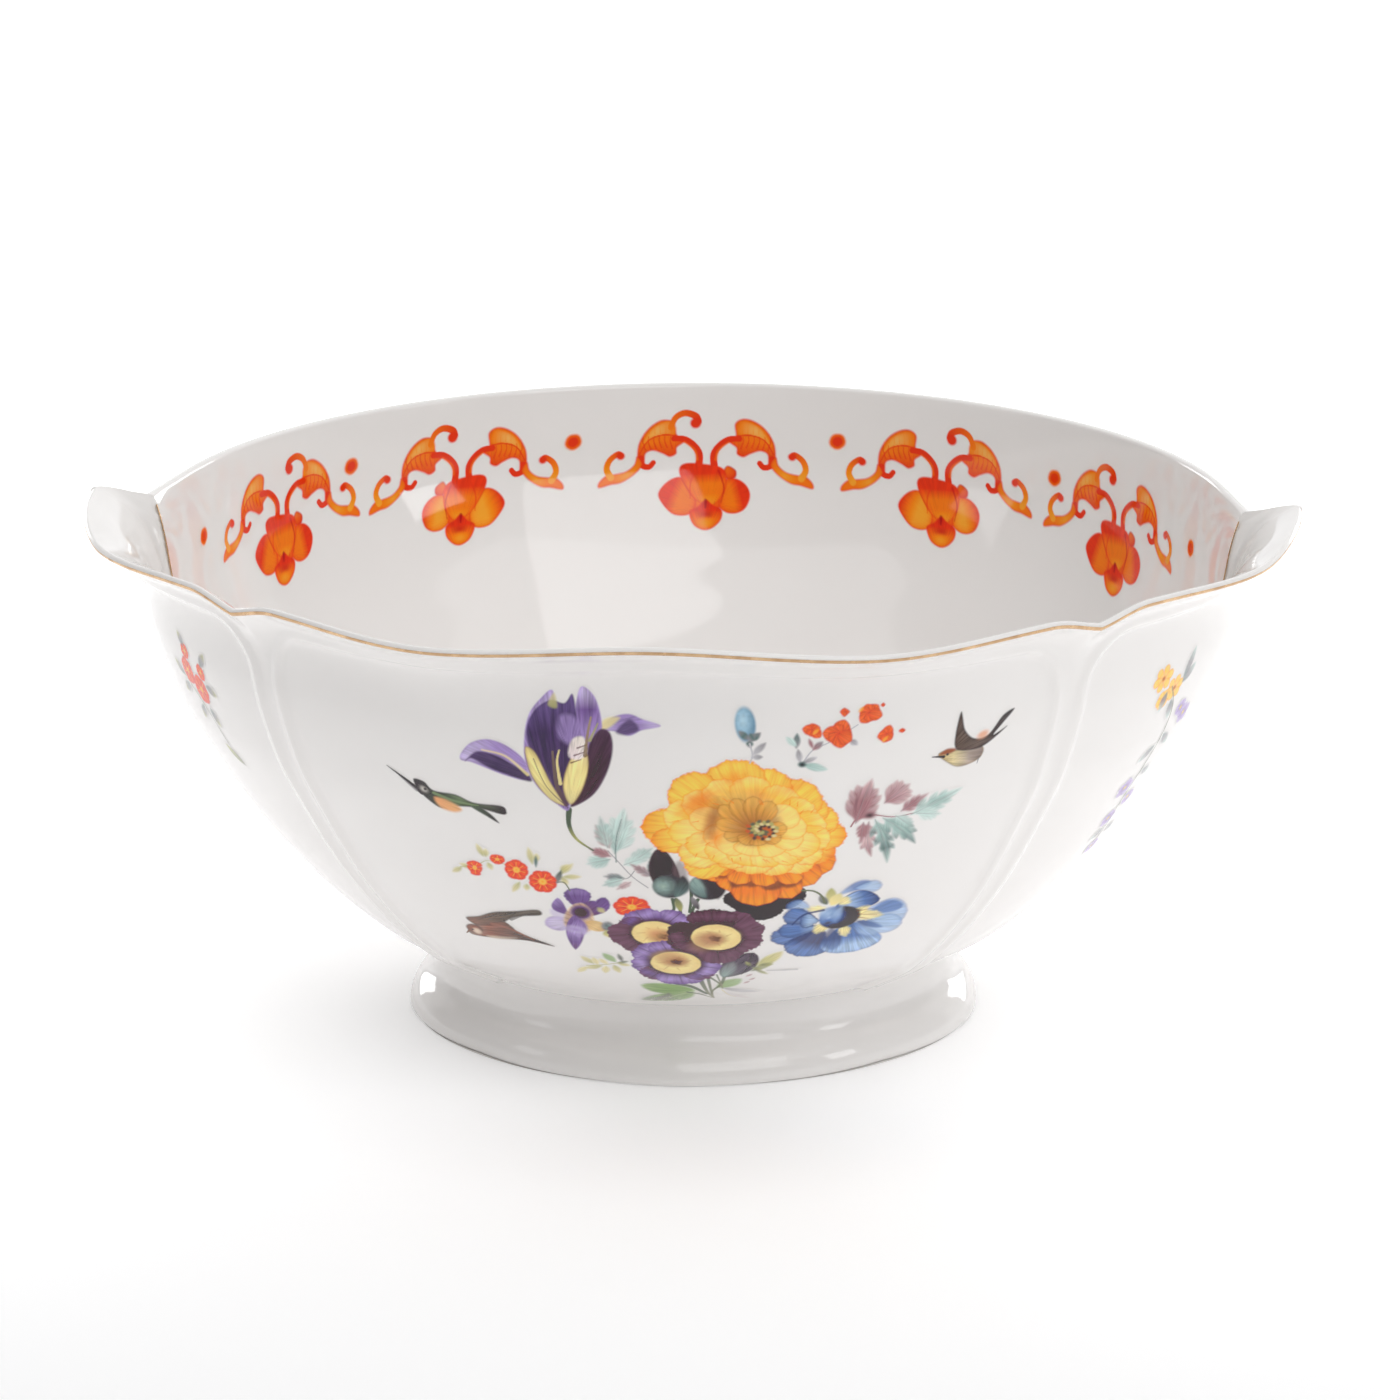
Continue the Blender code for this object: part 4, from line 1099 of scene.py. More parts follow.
def paintTulip(sheet):
    vein(sheet, [(-20.8, 96.4), (-21, 91.4), (-19.4, 86.8), (-15.6, 83)],
        [hue["darkGreen"], hue["darkGreen"], hue["olive"], hue["darkGreen"]], 1.5, 0.5)
    fill(sheet, [(-31, 105), (-36, 105.8), (-41, 107.6), (-45, 109), (-47.8, 109.4), (-47.4, 111.6),
        (-44.6, 114.6), (-40, 115.8), (-35, 114), (-31, 110)], tones("lilac", "lilac", "paleLilac"),
        axis=((-31, 107), (-48, 112)), rim=hue["lilac"], rimWidth=0.5, streak=0.35)
    fill(sheet, [(-30, 104.4), (-35.6, 106), (-40.4, 107.8), (-44.8, 110), (-46.6, 109.2),
        (-43.4, 112.2), (-38.6, 111.6), (-34, 109), (-30.4, 106.6)],
        [(74, 56, 92), (66, 48, 86), (88, 66, 112)], axis=((-30, 106), (-47, 110)), streak=0.5, soft=0.4)
    vein(sheet, [(-30.6, 106.4), (-36, 111.4), (-42, 112.8)], hue["cream"], 0.8, 0.4, cover=0.75, soft=0.5)
    fill(sheet, [(-13, 118.6), (-10, 121.8), (-6, 122.8), (-2.6, 121.4), (1.4, 119.8), (-3, 118.6),
        (-6, 117.2), (-9.6, 118.4)], tones("paleLilac", "lilac", "lilac", "paleLilac"),
        axis=((-13, 119), (1, 120)), rim=hue["lilac"], rimWidth=0.4, streak=0.4)
    fill(sheet, [(-9, 118.2), (-6.4, 117.4), (-3.6, 118.8), (-5.8, 121.4)], [(76, 58, 96)],
        axis=((-9, 118), (-4, 121)), soft=0.5, streak=0.5, cover=0.85)
    fill(sheet, [(-14, 118.4), (-11.4, 121.6), (-8, 121.8), (-11, 119)], tones("cream", "straw"),
        axis=((-14, 118), (-8, 122)), soft=0.5, cover=0.85)
    fill(sheet, [(-20.6, 97), (-24, 98.2), (-28.4, 103), (-31, 109.6), (-31, 117), (-29.6, 123),
        (-26.6, 127.2), (-23.8, 129.4), (-23, 124), (-21, 112)],
        [(104, 84, 132), (92, 70, 122), (140, 118, 168), (176, 160, 198)], axis=((-22, 97), (-27, 128)),
        rim=hue["lilac"], rimWidth=0.7, streak=0.5)
    fill(sheet, [(-17, 112), (-18.6, 121), (-18, 127), (-16.6, 130.4), (-13.8, 127.4), (-12.4, 122),
        (-12.4, 117.6), (-14, 113)], tones("lilac", "lilac", "violet", "paleLilac"),
        axis=((-16, 112), (-16, 130)), rim=hue["lilac"], rimWidth=0.6, streak=0.5)
    fill(sheet, [(-22, 98), (-26, 106), (-29.4, 112.6), (-30.4, 119), (-28.2, 124), (-24.4, 126.6),
        (-21, 125.8), (-19, 128.2), (-18.2, 122), (-18, 112), (-19.4, 102)],
        [(84, 64, 92), (70, 50, 88), (66, 46, 88), (96, 76, 128)], axis=((-22, 98), (-22, 128)),
        rim=(84, 64, 112), rimWidth=0.6, streak=0.55)
    fill(sheet, [(-19, 115), (-22.6, 117), (-22.4, 122), (-19.4, 122.6), (-17.6, 119.4)],
        tones("lilac", "lilac"), axis=((-20, 115), (-20, 123)), soft=0.9, cover=0.75, streak=0.5)
    fill(sheet, [(-23.4, 128.6), (-25, 125.4), (-22.8, 124.6)], tones("straw", "olive"), soft=0.4, cover=0.8)
    fill(sheet, [(-21.4, 97.4), (-25.4, 99.4), (-29.6, 106), (-31, 113.8), (-28.4, 112.6), (-25, 104.4),
        (-22.6, 99.6)], [hue["straw"], (236, 220, 146), (240, 224, 150), (214, 196, 130)],
        axis=((-22, 97), (-30, 114)), streak=0.3, rim=(150, 120, 84), rimWidth=0.3)
    vein(sheet, [(-21, 97), (-26, 103), (-29, 111)], (96, 70, 84), 0.3, 0.25, cover=0.8)
    vein(sheet, [(-21.4, 98), (-23.6, 104), (-24.2, 113)], [(88, 62, 76), (128, 108, 84)], 1.3, 0.5,
        cover=0.8)
    vein(sheet, [(-22.6, 104), (-23.2, 110), (-22.6, 113.4)], hue["cream"], 0.9, 0.4, cover=0.85)
    fill(sheet, [(-20.4, 97.2), (-15, 100.6), (-11.4, 107), (-9.8, 113.6), (-10.4, 118), (-12.8, 118.8),
        (-15.4, 115), (-16.4, 110), (-18, 103)], [(70, 46, 54), (66, 40, 54), (72, 46, 66)],
        axis=((-20, 97), (-11, 118)), rim=(92, 66, 92), rimWidth=0.4, streak=0.4)
    fill(sheet, [(-20.4, 98), (-22, 103), (-20.6, 109.4), (-17.8, 114), (-15.8, 112), (-16, 107),
        (-17.8, 101.4)], [hue["straw"], (242, 224, 150), (242, 224, 150), (236, 214, 160)],
        axis=((-20, 98), (-17, 114)), rim=(180, 150, 100), rimWidth=0.3, streak=0.25)
    fill(sheet, [(-20.4, 112), (-19.4, 116.2), (-16.6, 116.8), (-16, 112.6), (-18.2, 110.8)],
        [(222, 206, 208), (236, 226, 214)], axis=((-19, 111), (-17, 117)), streak=0.5, soft=0.4)
    for x, y in ((-17.6, 112.4), (-16.8, 114.4), (-18.4, 110.4)):
        vein(sheet, [(x - 1.4, y - 0.4), (x + 1.0, y + 0.5)], (92, 44, 50), 0.45, 0.2, cover=0.8)
    vein(sheet, [(-16.4, 112), (-15.6, 118), (-14.8, 122)], [(120, 92, 60), (168, 148, 96)], 1.0, 0.4,
        cover=0.85)
    vein(sheet, [(-15.2, 116), (-13.2, 120.4)], hue["olive"], 0.8, 0.3, cover=0.8)


def paintBirds(sheet):
    vein(sheet, [(-69.2, 103.6), (-64, 100.6), (-59.4, 97.4)], hue["night"], 0.25, 1.5)
    vein(sheet, [(-66, 101.4), (-61, 97.8)], hue["grey"], 0.2, 0.9, cover=0.6)
    fill(sheet, [(-61.6, 101.2), (-58.6, 101), (-56, 98.8), (-50, 98.6), (-45, 96.8), (-38, 96.6),
        (-36.6, 95), (-37.6, 93.8), (-44, 95.2), (-50, 94.8), (-54, 93.4), (-57, 94.8), (-60.4, 98)],
        [hue["night"], (66, 72, 62), (98, 116, 84), (84, 92, 74), hue["night"]],
        axis=((-61, 99), (-37, 95)), rim=hue["night"], rimWidth=0.35, streak=0.7)
    fill(sheet, [(-46, 95.4), (-42, 92.8), (-38.8, 90.8), (-41, 93.8), (-44.4, 96)],
        [hue["darkGreen"], hue["night"]], axis=((-46, 95), (-39, 91)), streak=0.5)
    fill(sheet, [(-56, 96.6), (-52.4, 96.4), (-48.6, 94.2), (-50.6, 92.8), (-54.4, 93.6)],
        [(222, 156, 104), (230, 174, 120)], axis=((-56, 96), (-49, 93)), soft=0.6, streak=0.3)
    spot(sheet, (-58.8, 98.6), 1.3, 0.9, [(220, 216, 206), (150, 144, 140)], turn=-30, soft=0.5, cover=0.85)
    spot(sheet, (-58.4, 98.7), 0.45, 0.4, tones("night", "night"), soft=0.2)
    vein(sheet, [(-56, 98), (-50, 96.4), (-44, 96)], (128, 150, 104), 0.9, 0.3, cover=0.7, soft=0.5)
    fill(sheet, [(-51.6, 50.6), (-47.6, 52.8), (-43, 56), (-37, 57.8), (-31, 59.4), (-30.2, 57.2),
        (-36, 55.6), (-39.8, 52.6), (-42, 48), (-48, 47.4)], [(128, 88, 72), (104, 80, 66), (74, 66, 58),
        (88, 80, 72)], axis=((-50, 49), (-31, 58)), rim=(70, 58, 52), rimWidth=0.5, streak=0.7, soft=0.4)
    fill(sheet, [(-47, 49), (-41, 52), (-38.6, 50.4), (-36.4, 47.8), (-27.6, 43), (-34, 44.2),
        (-39, 43.8), (-45, 42.8), (-50.4, 42.4), (-51.6, 44.6), (-50, 47.4)],
        [(150, 122, 104), (140, 84, 66), (112, 76, 64), (60, 54, 50), (52, 46, 44)],
        axis=((-51, 45), (-29, 45)), rim=(84, 62, 54), rimWidth=0.45, streak=0.6)
    fill(sheet, [(-46, 43.4), (-41, 44.4), (-37.6, 45), (-40, 43.6), (-44, 42.8)],
        [(206, 186, 166), (170, 150, 136)], soft=0.8, axis=((-46, 43), (-38, 45)))
    vein(sheet, [(-44, 50), (-39, 49), (-33, 45)], (150, 92, 74), 1.3, 0.4, cover=0.7, soft=0.7)
    vein(sheet, [(-38.4, 53.6), (-34.6, 56.6), (-31, 58)], (66, 58, 52), 1.0, 0.4, cover=0.7, soft=0.4)
    spot(sheet, (-49.6, 45.8), 2.5, 2.3, [(150, 90, 70), (132, 80, 64), (96, 70, 62)], soft=0.4, mottle=0.3)
    spot(sheet, (-48.9, 44.8), 1.3, 1.5, [(232, 214, 196), (206, 176, 154)], turn=30, soft=0.5, cover=0.9)
    spot(sheet, (-50.2, 45.2), 0.4, 0.35, tones("night", "night"), soft=0.2)
    vein(sheet, [(-51.2, 44.4), (-52.4, 42.4)], (120, 84, 66), 1.0, 0.2)
    fill(sheet, [(69, 109.8), (71.6, 110.8), (74, 110.4), (78, 111.6), (81.6, 109.6), (81, 106.8),
        (78, 105.4), (74.4, 105.2), (71.6, 107)], [(176, 148, 96), (212, 196, 150), (168, 152, 140),
        (120, 106, 104)], axis=((69, 109), (82, 108)), rim=(128, 108, 84), rimWidth=0.35, streak=0.5)
    fill(sheet, [(69.4, 109.6), (71.4, 111), (74, 110.6), (72.4, 109.6)], [(150, 84, 56)], soft=0.4)
    vein(sheet, [(67.4, 109.4), (70.6, 108.9)], hue["night"], 0.3, 0.8)
    spot(sheet, (71.6, 109.4), 0.4, 0.35, tones("night", "night"), soft=0.2)
    fill(sheet, [(74, 110.4), (73.6, 115), (75, 120.6), (76.2, 115.6), (79, 112.6), (83, 113),
        (87, 117.4), (90.4, 118.6), (87, 115.2), (84.6, 112.6), (88.4, 114.2), (82.8, 110.4),
        (79, 109.4)], [(88, 70, 60), (96, 80, 72), (64, 56, 54), (70, 64, 64)],
        axis=((74, 110), (90, 116)), rim=hue["night"], rimWidth=0.35, streak=0.7)
    spot(sheet, (81.4, 113.2), 1.6, 1.0, [(222, 160, 124)], turn=20, soft=0.6, cover=0.85)
    vein(sheet, [(80.4, 106.4), (80, 105)], hue["grey"], 0.3, 0.2)


def paintBuds(sheet):
    spot(sheet, (21, 121), 2.45, 4.6, [(176, 206, 220), (152, 188, 208), (112, 148, 172)], turn=4,
        shift=(-0.2, 0.2), soft=0.4, mottle=0.2)
    for base, tip in (((22, 117), (19.4, 119.2)), ((22, 116.6), (24.6, 119)), ((22, 117), (22, 115)),
            ((21.6, 117.4), (23.4, 118.4))):
        leaf(sheet, base, tip, 1.7, tones("grey", "darkTeal", "grey"), blunt=0.8, soft=0.35)
    vein(sheet, [(22, 116), (22.6, 113), (22, 110.8)], hue["paleGrey"], 0.45, 0.35)
    leaf(sheet, (22.6, 113), (25.8, 116.4), 1.6, tones("paleGrey", "grey"), blunt=0.8, soft=0.4)
    leaf(sheet, (22.4, 112.4), (25, 112.6), 1.4, tones("paleGrey", "grey"), blunt=0.8, soft=0.4)
    vein(sheet, [(34.2, 110.4), (37, 114.6), (41, 116.6), (48, 121)], hue["paleGrey"], 0.4, 0.3)
    for base, tip, width, names in (((33, 115), (33.2, 119), 1.7, ("grey", "darkTeal")),
            ((33, 115.6), (30.6, 118), 1.6, ("paleTeal", "paleTeal")),
            ((34, 111), (33.4, 114.8), 1.5, ("paleGrey", "grey")),
            ((34.6, 110.6), (40.6, 109), 2.2, ("teal", "paleTeal")),
            ((34.6, 111), (38, 112.6), 1.3, ("grey", "paleGrey")),
            ((37, 114.6), (39.4, 116.8), 1.6, ("mauve", "grey")),
            ((46, 117), (48, 115.6), 1.6, ("grey", "paleGrey")),
            ((37, 115), (36, 117.6), 1.0, ("mauve", "mauve"))):
        leaf(sheet, base, tip, width, tones(*names), blunt=0.8, soft=0.4, streak=0.4)
    spot(sheet, (34.4, 110.6), 1.0, 0.8, tones("night", "darkTeal"), soft=0.4)
    for x, y, size, count, turn in ((37, 119.8, 2.6, 5, 100), (43.4, 118.6, 4.1, 7, 20),
            (44.6, 124.6, 1.4, 4, 0), (50.8, 123.8, 3.3, 6, 45), (55.2, 117.6, 2.6, 6, 10),
            (59.2, 118.2, 0.9, 4, 0), (54.2, 125.8, 0.7, 4, 0)):
        for k in range(count):
            a = 2 * math.pi * k / count + math.radians(turn)
            reach = size * (0.86 + 0.18 * math.sin(2.7 * k + x))
            leaf(sheet, (x - 0.35 * math.cos(a), y - 0.35 * math.sin(a)),
                (x + reach * math.cos(a), y + reach * math.sin(a)), size * 1.05,
                [(214, 84, 44), (226, 96, 46), (236, 112, 56)], blunt=0.7, streak=0.4, rim=(204, 66, 30),
                rimWidth=0.3)
    for x, y in ((38.4, 120.2), (49.4, 125.8), (55.6, 117.2)):
        leaf(sheet, (x, y), (x - 1.4, y - 1.4), 0.8, tones("amber", "yellow"), blunt=0.8, soft=0.3, cover=0.8)


def paintGreens(sheet):
    leaf(sheet, (13, 20), (18.4, 11), 2.4, tones("paleGrey", "paleMauve"), blunt=0.8, soft=0.9, cover=0.35)
    vein(sheet, [(12.4, 21), (14, 16), (15.4, 13.6)], hue["straw"], 0.4, 0.3, cover=0.6)
    leaf(sheet, (12.6, 22.4), (21.4, 18.6), 2.6, tones("grey", "paleGrey", "paleGrey"), blunt=0.8,
        soft=0.6, cover=0.8, bend=0.05)
    leaf(sheet, (11.4, 22.6), (17.4, 28.2), 4.4, [hue["green"], (160, 184, 136)], blunt=0.7, soft=0.6,
        streak=0.3, cover=0.9)
    leaf(sheet, (5.8, 20.6), (-7, 23.8), 7.6, [hue["green"], hue["green"], (150, 172, 124)], blunt=0.6,
        soft=0.7, streak=0.35, bend=-0.06)
    leaf(sheet, (5.4, 20.2), (-7.6, 7.6), 8.6, [(150, 172, 124), hue["green"], (140, 160, 120),
        (150, 160, 140)], blunt=0.7, soft=0.7, streak=0.35, bend=-0.03)
    leaf(sheet, (-0.6, 18.6), (-7.6, 8), 3.6, [(110, 116, 98), (120, 122, 112), (150, 152, 142)],
        blunt=0.7, soft=0.8, bend=-0.16, cover=0.9)
    vein(sheet, [(5.4, 20.4), (1, 16), (-3.6, 9)], (176, 190, 150), 0.6, 0.3, cover=0.7, soft=0.6)
    vein(sheet, [(2, 25.2), (5.4, 23.2), (8.6, 18)], hue["darkGreen"], 1.6, 0.9, cover=0.9)
    for points, wide in (([(7.6, 27.6), (8.4, 22), (9.8, 14)], 1.3),
            ([(9.4, 29.6), (9.6, 24), (10, 12.8)], 0.9), ([(13.6, 31), (12.4, 25), (10, 20), (9.8, 14)],
            0.9), ([(9.6, 30), (12, 25.4), (12.6, 22)], 0.8), ([(4, 19.4), (7, 17.6), (9.6, 13.4)], 0.8),
            ([(11.6, 31), (12, 28), (12.6, 24)], 0.5)):
        vein(sheet, points, [hue["darkGreen"], hue["stem"], (150, 150, 128)], wide, 0.5, cover=0.85,
            soft=0.35)
    leaf(sheet, (13, 29.4), (21.2, 42.6), 8.2, [(112, 122, 118), (92, 84, 98), (78, 64, 80),
        (70, 56, 72)], blunt=0.6, belly=1.1, streak=0.55, rim=(62, 50, 60), rimWidth=0.5)
    leaf(sheet, (13, 29.6), (16, 38), 3.2, tones("teal", "grey"), blunt=0.7, soft=0.8, streak=0.4, cover=0.7)
    vein(sheet, [(20.6, 42), (19.6, 36), (17.6, 31)], hue["night"], 0.7, 0.4, cover=0.7)
    leaf(sheet, (21.6, 35), (28.2, 42.6), 3.6, [hue["olive"], (196, 190, 120), hue["straw"]], blunt=0.7,
        soft=0.6, streak=0.3, cover=0.9)
    for base, tip, width in (((20, 32.6), (25.6, 37), 2.2), ((20.4, 35), (22.6, 33), 1.4),
            ((21, 33.6), (24, 30.4), 1.3), ((20, 35.4), (19, 38), 1.2), ((22.4, 36), (25.6, 36), 1.8)):
        leaf(sheet, base, tip, width, tones("stem", "olive"), blunt=0.8, soft=0.5, streak=0.3, cover=0.85)
    vein(sheet, [(24, 32.6), (28, 32.2), (31.4, 32)], hue["grey"], 0.5, 0.9, cover=0.5, soft=0.5)
    for x, y in ((18.6, 29.4), (19.2, 27), (17.8, 25)):
        leaf(sheet, (x, y), (x + 1.6, y + 1.4), 0.8, tones("paleMauve", "mauve"), blunt=0.8, soft=0.3,
            cover=0.8)
    for base, tip, width, names in (((-20, 33.4), (-22.4, 29.6), 1.9, ("straw", "straw")),
            ((-18, 35.4), (-21, 39), 2.0, ("olive", "straw")),
            ((-17, 35), (-18, 38.8), 1.7, ("straw", "straw")),
            ((-16, 34.6), (-20.4, 32.4), 2.2, ("olive", "straw")),
            ((-15, 34.6), (-15.4, 30.4), 2.0, ("straw", "straw")),
            ((-13, 35.4), (-11.8, 31), 1.9, ("olive", "straw")),
            ((-12, 36.4), (-9, 35.4), 1.6, ("olive", "straw")),
            ((-12.4, 37), (-15.4, 41.4), 2.4, ("green", "green")),
            ((-10.8, 37.6), (-11.6, 41.4), 1.2, ("night", "darkGreen")),
            ((-14.6, 35.6), (-16.4, 38.4), 1.6, ("straw", "straw")),
            ((-12, 36.6), (-9.4, 37.8), 1.2, ("darkGreen", "stem"))):
        leaf(sheet, base, tip, width, tones(*names), blunt=0.8, soft=0.5, streak=0.3, cover=0.85)
    vein(sheet, [(-20, 34), (-15, 35.4), (-11, 37)], hue["olive"], 0.3, 0.35, cover=0.8)


def paintBouquet(sheet):
    for step in (paintGreens, paintLeaves, paintBellflower, paintSmallFlowers, paintDarkBuds,
            paintMarigold, paintAnemone, paintAuriculas, paintTulip, paintBirds, paintBuds):
        step(sheet)


# the border inside the round half, and the sprays on the two side panels

flame = {"red": (226, 66, 26), "deep": (196, 44, 18), "orange": (240, 122, 34), "gold": (248, 160, 60),
    "pale": (250, 176, 96),}


def paintMotif(sheet, centre, rise, mirror, curlRight, warm):
    # an orchid-like flower between two scrolls; x is mirrored about the flower's middle when asked
    def at(points, side=1):
        p = np.asarray(points, float)
        return np.stack([centre + side * (-1 if mirror else 1) * p[:, 0], p[:, 1] + rise], axis=1)

    for side, curl in ((1, curlRight != mirror), (-1, curlRight == mirror)):
        leafTop = [(9.7, 121.8), (10.5, 122.6)] if curl else [(7.7, 121.6), (9.9, 123)]
        blade = [(7.9, 118.2)] + leafTop + [(13.1, 122.4), (16.3, 120.2), (18.6, 116.6), (19.1, 112.8),
            (18.9, 110.4), (17.1, 111), (16.7, 113.6), (14.7, 114.4), (12.1, 113.6), (10.1, 112.7),
            (8.3, 113.5), (8.1, 115.2), (6.1, 116.8)]
        fill(sheet, at(blade, side), [flame["red"], flame["orange"], flame["orange"]],
            axis=at([(10, 112), (12, 123)], side), rim=flame["red"], rimWidth=0.5, soft=0.35, streak=0.12)
        fill(sheet, at([(8.6, 119), (9.4, 122.2), (13, 121.6), (16, 119.4), (17.9, 115.8), (15.6, 117.2),
            (12.6, 118.4)], side), [flame["orange"], flame["pale"], flame["gold"]],
            axis=at([(8, 119), (18, 117)], side), rim=flame["orange"], rimWidth=0.4, soft=0.4)
        for k in range(6):
            x = 9.6 + 1.5 * k
            top = 122.2 - 0.18 * (k - 1) ** 2
            vein(sheet, at([(x - 0.2, 115 + 0.3 * math.sin(k)), (x + 0.5, 117.2), (x + 0.3, 118.3)],
                side), flame["red"], 0.45, 0.2, cover=0.75)
            vein(sheet, at([(x + 0.2, 119), (x + 0.3, top - 0.6)], side), flame["orange"], 0.3, 0.15,
                cover=0.5)
        vein(sheet, at([(7.6, 118.2), (12, 118.6), (16, 117.2), (18.4, 113.6)], side), flame["red"],
            0.45, 0.35, cover=0.85)
        vein(sheet, at([(2.1, 110.4), (2.0, 113.4), (3.6, 115.8), (6.1, 117.4), (9, 117.6)], side),
            flame["red"], 2.1, 1.6, soft=0.3)
        vein(sheet, at([(2.6, 112), (3.4, 114.6), (6.1, 116.6)], side), flame["orange"], 0.8, 0.5,
            cover=0.55, soft=0.5)
        vein(sheet, at([(18, 112.4), (17.6, 110.6), (15.8, 110.1), (14.6, 111.2)], side), flame["red"],
            1.8, 1.5, soft=0.3)
        fill(sheet, at([(17.6, 110.8), (19.5, 108.3), (23.1, 106.1), (26.1, 105.6), (29.4, 104.9),
            (29.5, 106.4), (27.5, 108.2), (25.1, 108.5), (22.1, 109.1), (19.9, 110.8), (19.1, 113)],
            side), [flame["orange"], flame["gold"], flame["orange"], flame["orange"]],
            axis=at([(18, 110), (29.5, 105.5)], side), rim=flame["red"], rimWidth=0.35, soft=0.35)
        vein(sheet, at([(26.2, 107.6), (27.4, 109.8), (26.6, 112.2), (24.4, 113.8), (23.4, 113.4)],
            side), [flame["gold"], flame["orange"], flame["red"]], 1.9, 1.5, soft=0.3)
        spot(sheet, at([(23.6, 113.2)], side)[0], 1.15, 1.0, [flame["red"]], soft=0.35)
        if curl:
            vein(sheet, at([(9.9, 120.6), (8.6, 123.2), (6.0, 124.4), (3.2, 123.6), (2.4, 122.2)], side),
                [flame["orange"], flame["red"]], 1.6, 2.0, soft=0.3)
            spot(sheet, at([(3.1, 121.7)], side)[0], 1.5, 1.4, [flame["red"]], soft=0.35)

    spot(sheet, at([(-0.2, 103)])[0], 6.5, 5.6, [flame["orange"], flame["orange"], flame["red"]], soft=0.6)
    side = [flame["gold"], flame["gold"], flame["orange"], flame["red"]] if warm else [flame["orange"],
        flame["orange"], flame["red"], flame["red"]]
    fill(sheet, at([(5.4, 110.2), (4.6, 108.4), (6, 106.6), (8, 107.2), (8.2, 109), (6.6, 110.2)]),
        [flame["orange"], flame["red"]], rim=flame["deep"], rimWidth=0.4)
    fill(sheet, at([(-13, 103), (-10.5, 106.2), (-7, 107.3), (-3.4, 105), (-2.6, 100), (-4.4, 97.1),
        (-8.5, 97.1), (-11.6, 99.8)]), side, axis=at([(-5, 100), (-12.5, 103)]), rim=flame["red"],
        rimWidth=0.7, streak=0.1)
    fill(sheet, at([(4.3, 106), (8, 107), (11, 105.3), (12.2, 102.4), (11, 99), (8.4, 97.5), (5.4, 97.8),
        (3.6, 100)]), side, axis=at([(5, 101), (12, 103)]), rim=flame["red"], rimWidth=0.8, streak=0.1)
    fill(sheet, at([(-7.5, 109), (-5.7, 111), (0.5, 110.7), (4.3, 109.8), (5.6, 107.4), (5, 103),
        (1.6, 99.4), (-2.6, 101), (-5.6, 104.6)]), [flame["gold"], flame["orange"], flame["orange"],
        flame["red"], flame["red"]], axis=at([(0, 100), (-0.6, 111)]), rim=flame["red"], rimWidth=0.6,
        streak=0.15)
    vein(sheet, at([(-2.2, 110), (-4.2, 106), (-4.2, 101.6)]), flame["red"], 0.6, 0.3, cover=0.7, soft=0.4)
    vein(sheet, at([(3.4, 109), (4.9, 104.6), (4.2, 100.4)]), flame["deep"], 0.6, 0.3, cover=0.7, soft=0.4)
    fill(sheet, at([(-4.3, 98), (-2.2, 99.2), (0, 101.2), (2, 99.8), (4.5, 98.4), (4.4, 95.8),
        (2.4, 93.6), (0, 92.8), (-2.6, 93.8), (-4, 95.8)]), [flame["orange"], flame["orange"],
        flame["red"], flame["deep"]], axis=at([(0, 93), (0, 101)]), rim=flame["red"], rimWidth=0.7,
        streak=0.15)
    spot(sheet, at([(0.2, 97.2)])[0], 1.7, 0.9, [flame["deep"]], soft=0.9, cover=0.75)
    spot(sheet, at([(0, 94.8)])[0], 1.8, 1.1, [flame["gold"]], soft=1.0, cover=0.7)
    vein(sheet, at([(0, 101), (0, 99)]), (140, 32, 14), 0.9, 0.5, cover=0.6, soft=0.5)


def paintBorder(sheet):
    for centre, rise, mirror, curlRight, warm in ((-137, 0.6, False, True, False),
            (-74.5, 0.2, True, False, True), (-5.5, 0, False, False, False),
            (61.5, 0, False, True, True), (125, -1.2, False, False, False)):
        paintMotif(sheet, centre, rise, mirror, curlRight, warm)
    for place in ((-177.6, 114.6), (-110.5, 118.9), (-42.4, 117.6), (30.8, 118.1), (99, 116.8),
            (165.5, 112.8)):
        spot(sheet, place, 2.4, 2.1, [flame["red"], flame["red"], flame["orange"]], turn=20, wave=0.03,
            waves=5, soft=0.4)


def paintLeftSpray(sheet):
    # u runs from the panel's own middle line
    for place, ru, rv in (((-2.5, 112), 3.4, 3.9), ((3.2, 108), 3.8, 4.2), ((-1, 117.6), 2.4, 2.2),
            ((6.4, 113.4), 2.2, 2.4)):
        paintRedFlower(sheet, place, ru, rv, 7, 15, 0.25)
    for base, tip in (((-6, 110), (-11, 113)), ((-5, 108), (-9.6, 105)), ((0, 103), (-3, 98.6)),
            ((4, 103), (6.6, 98)), ((7, 110), (12, 108)), ((7, 115), (10.6, 119)),
            ((-1, 119), (-3.6, 122.4))):
        leaf(sheet, base, tip, 2.6, tones("darkTeal", "grey", "olive"), blunt=0.75, streak=0.4, soft=0.5,
            cover=0.85, teeth=0.1)
    leaf(sheet, (3, 92), (9, 87), 3.2, tones("olive", "stem"), blunt=0.75, streak=0.4, soft=0.6, cover=0.85)
    vein(sheet, [(-6, 110), (0, 104), (4, 98), (6, 92)], hue["stem"], 0.4, 0.3, cover=0.7)


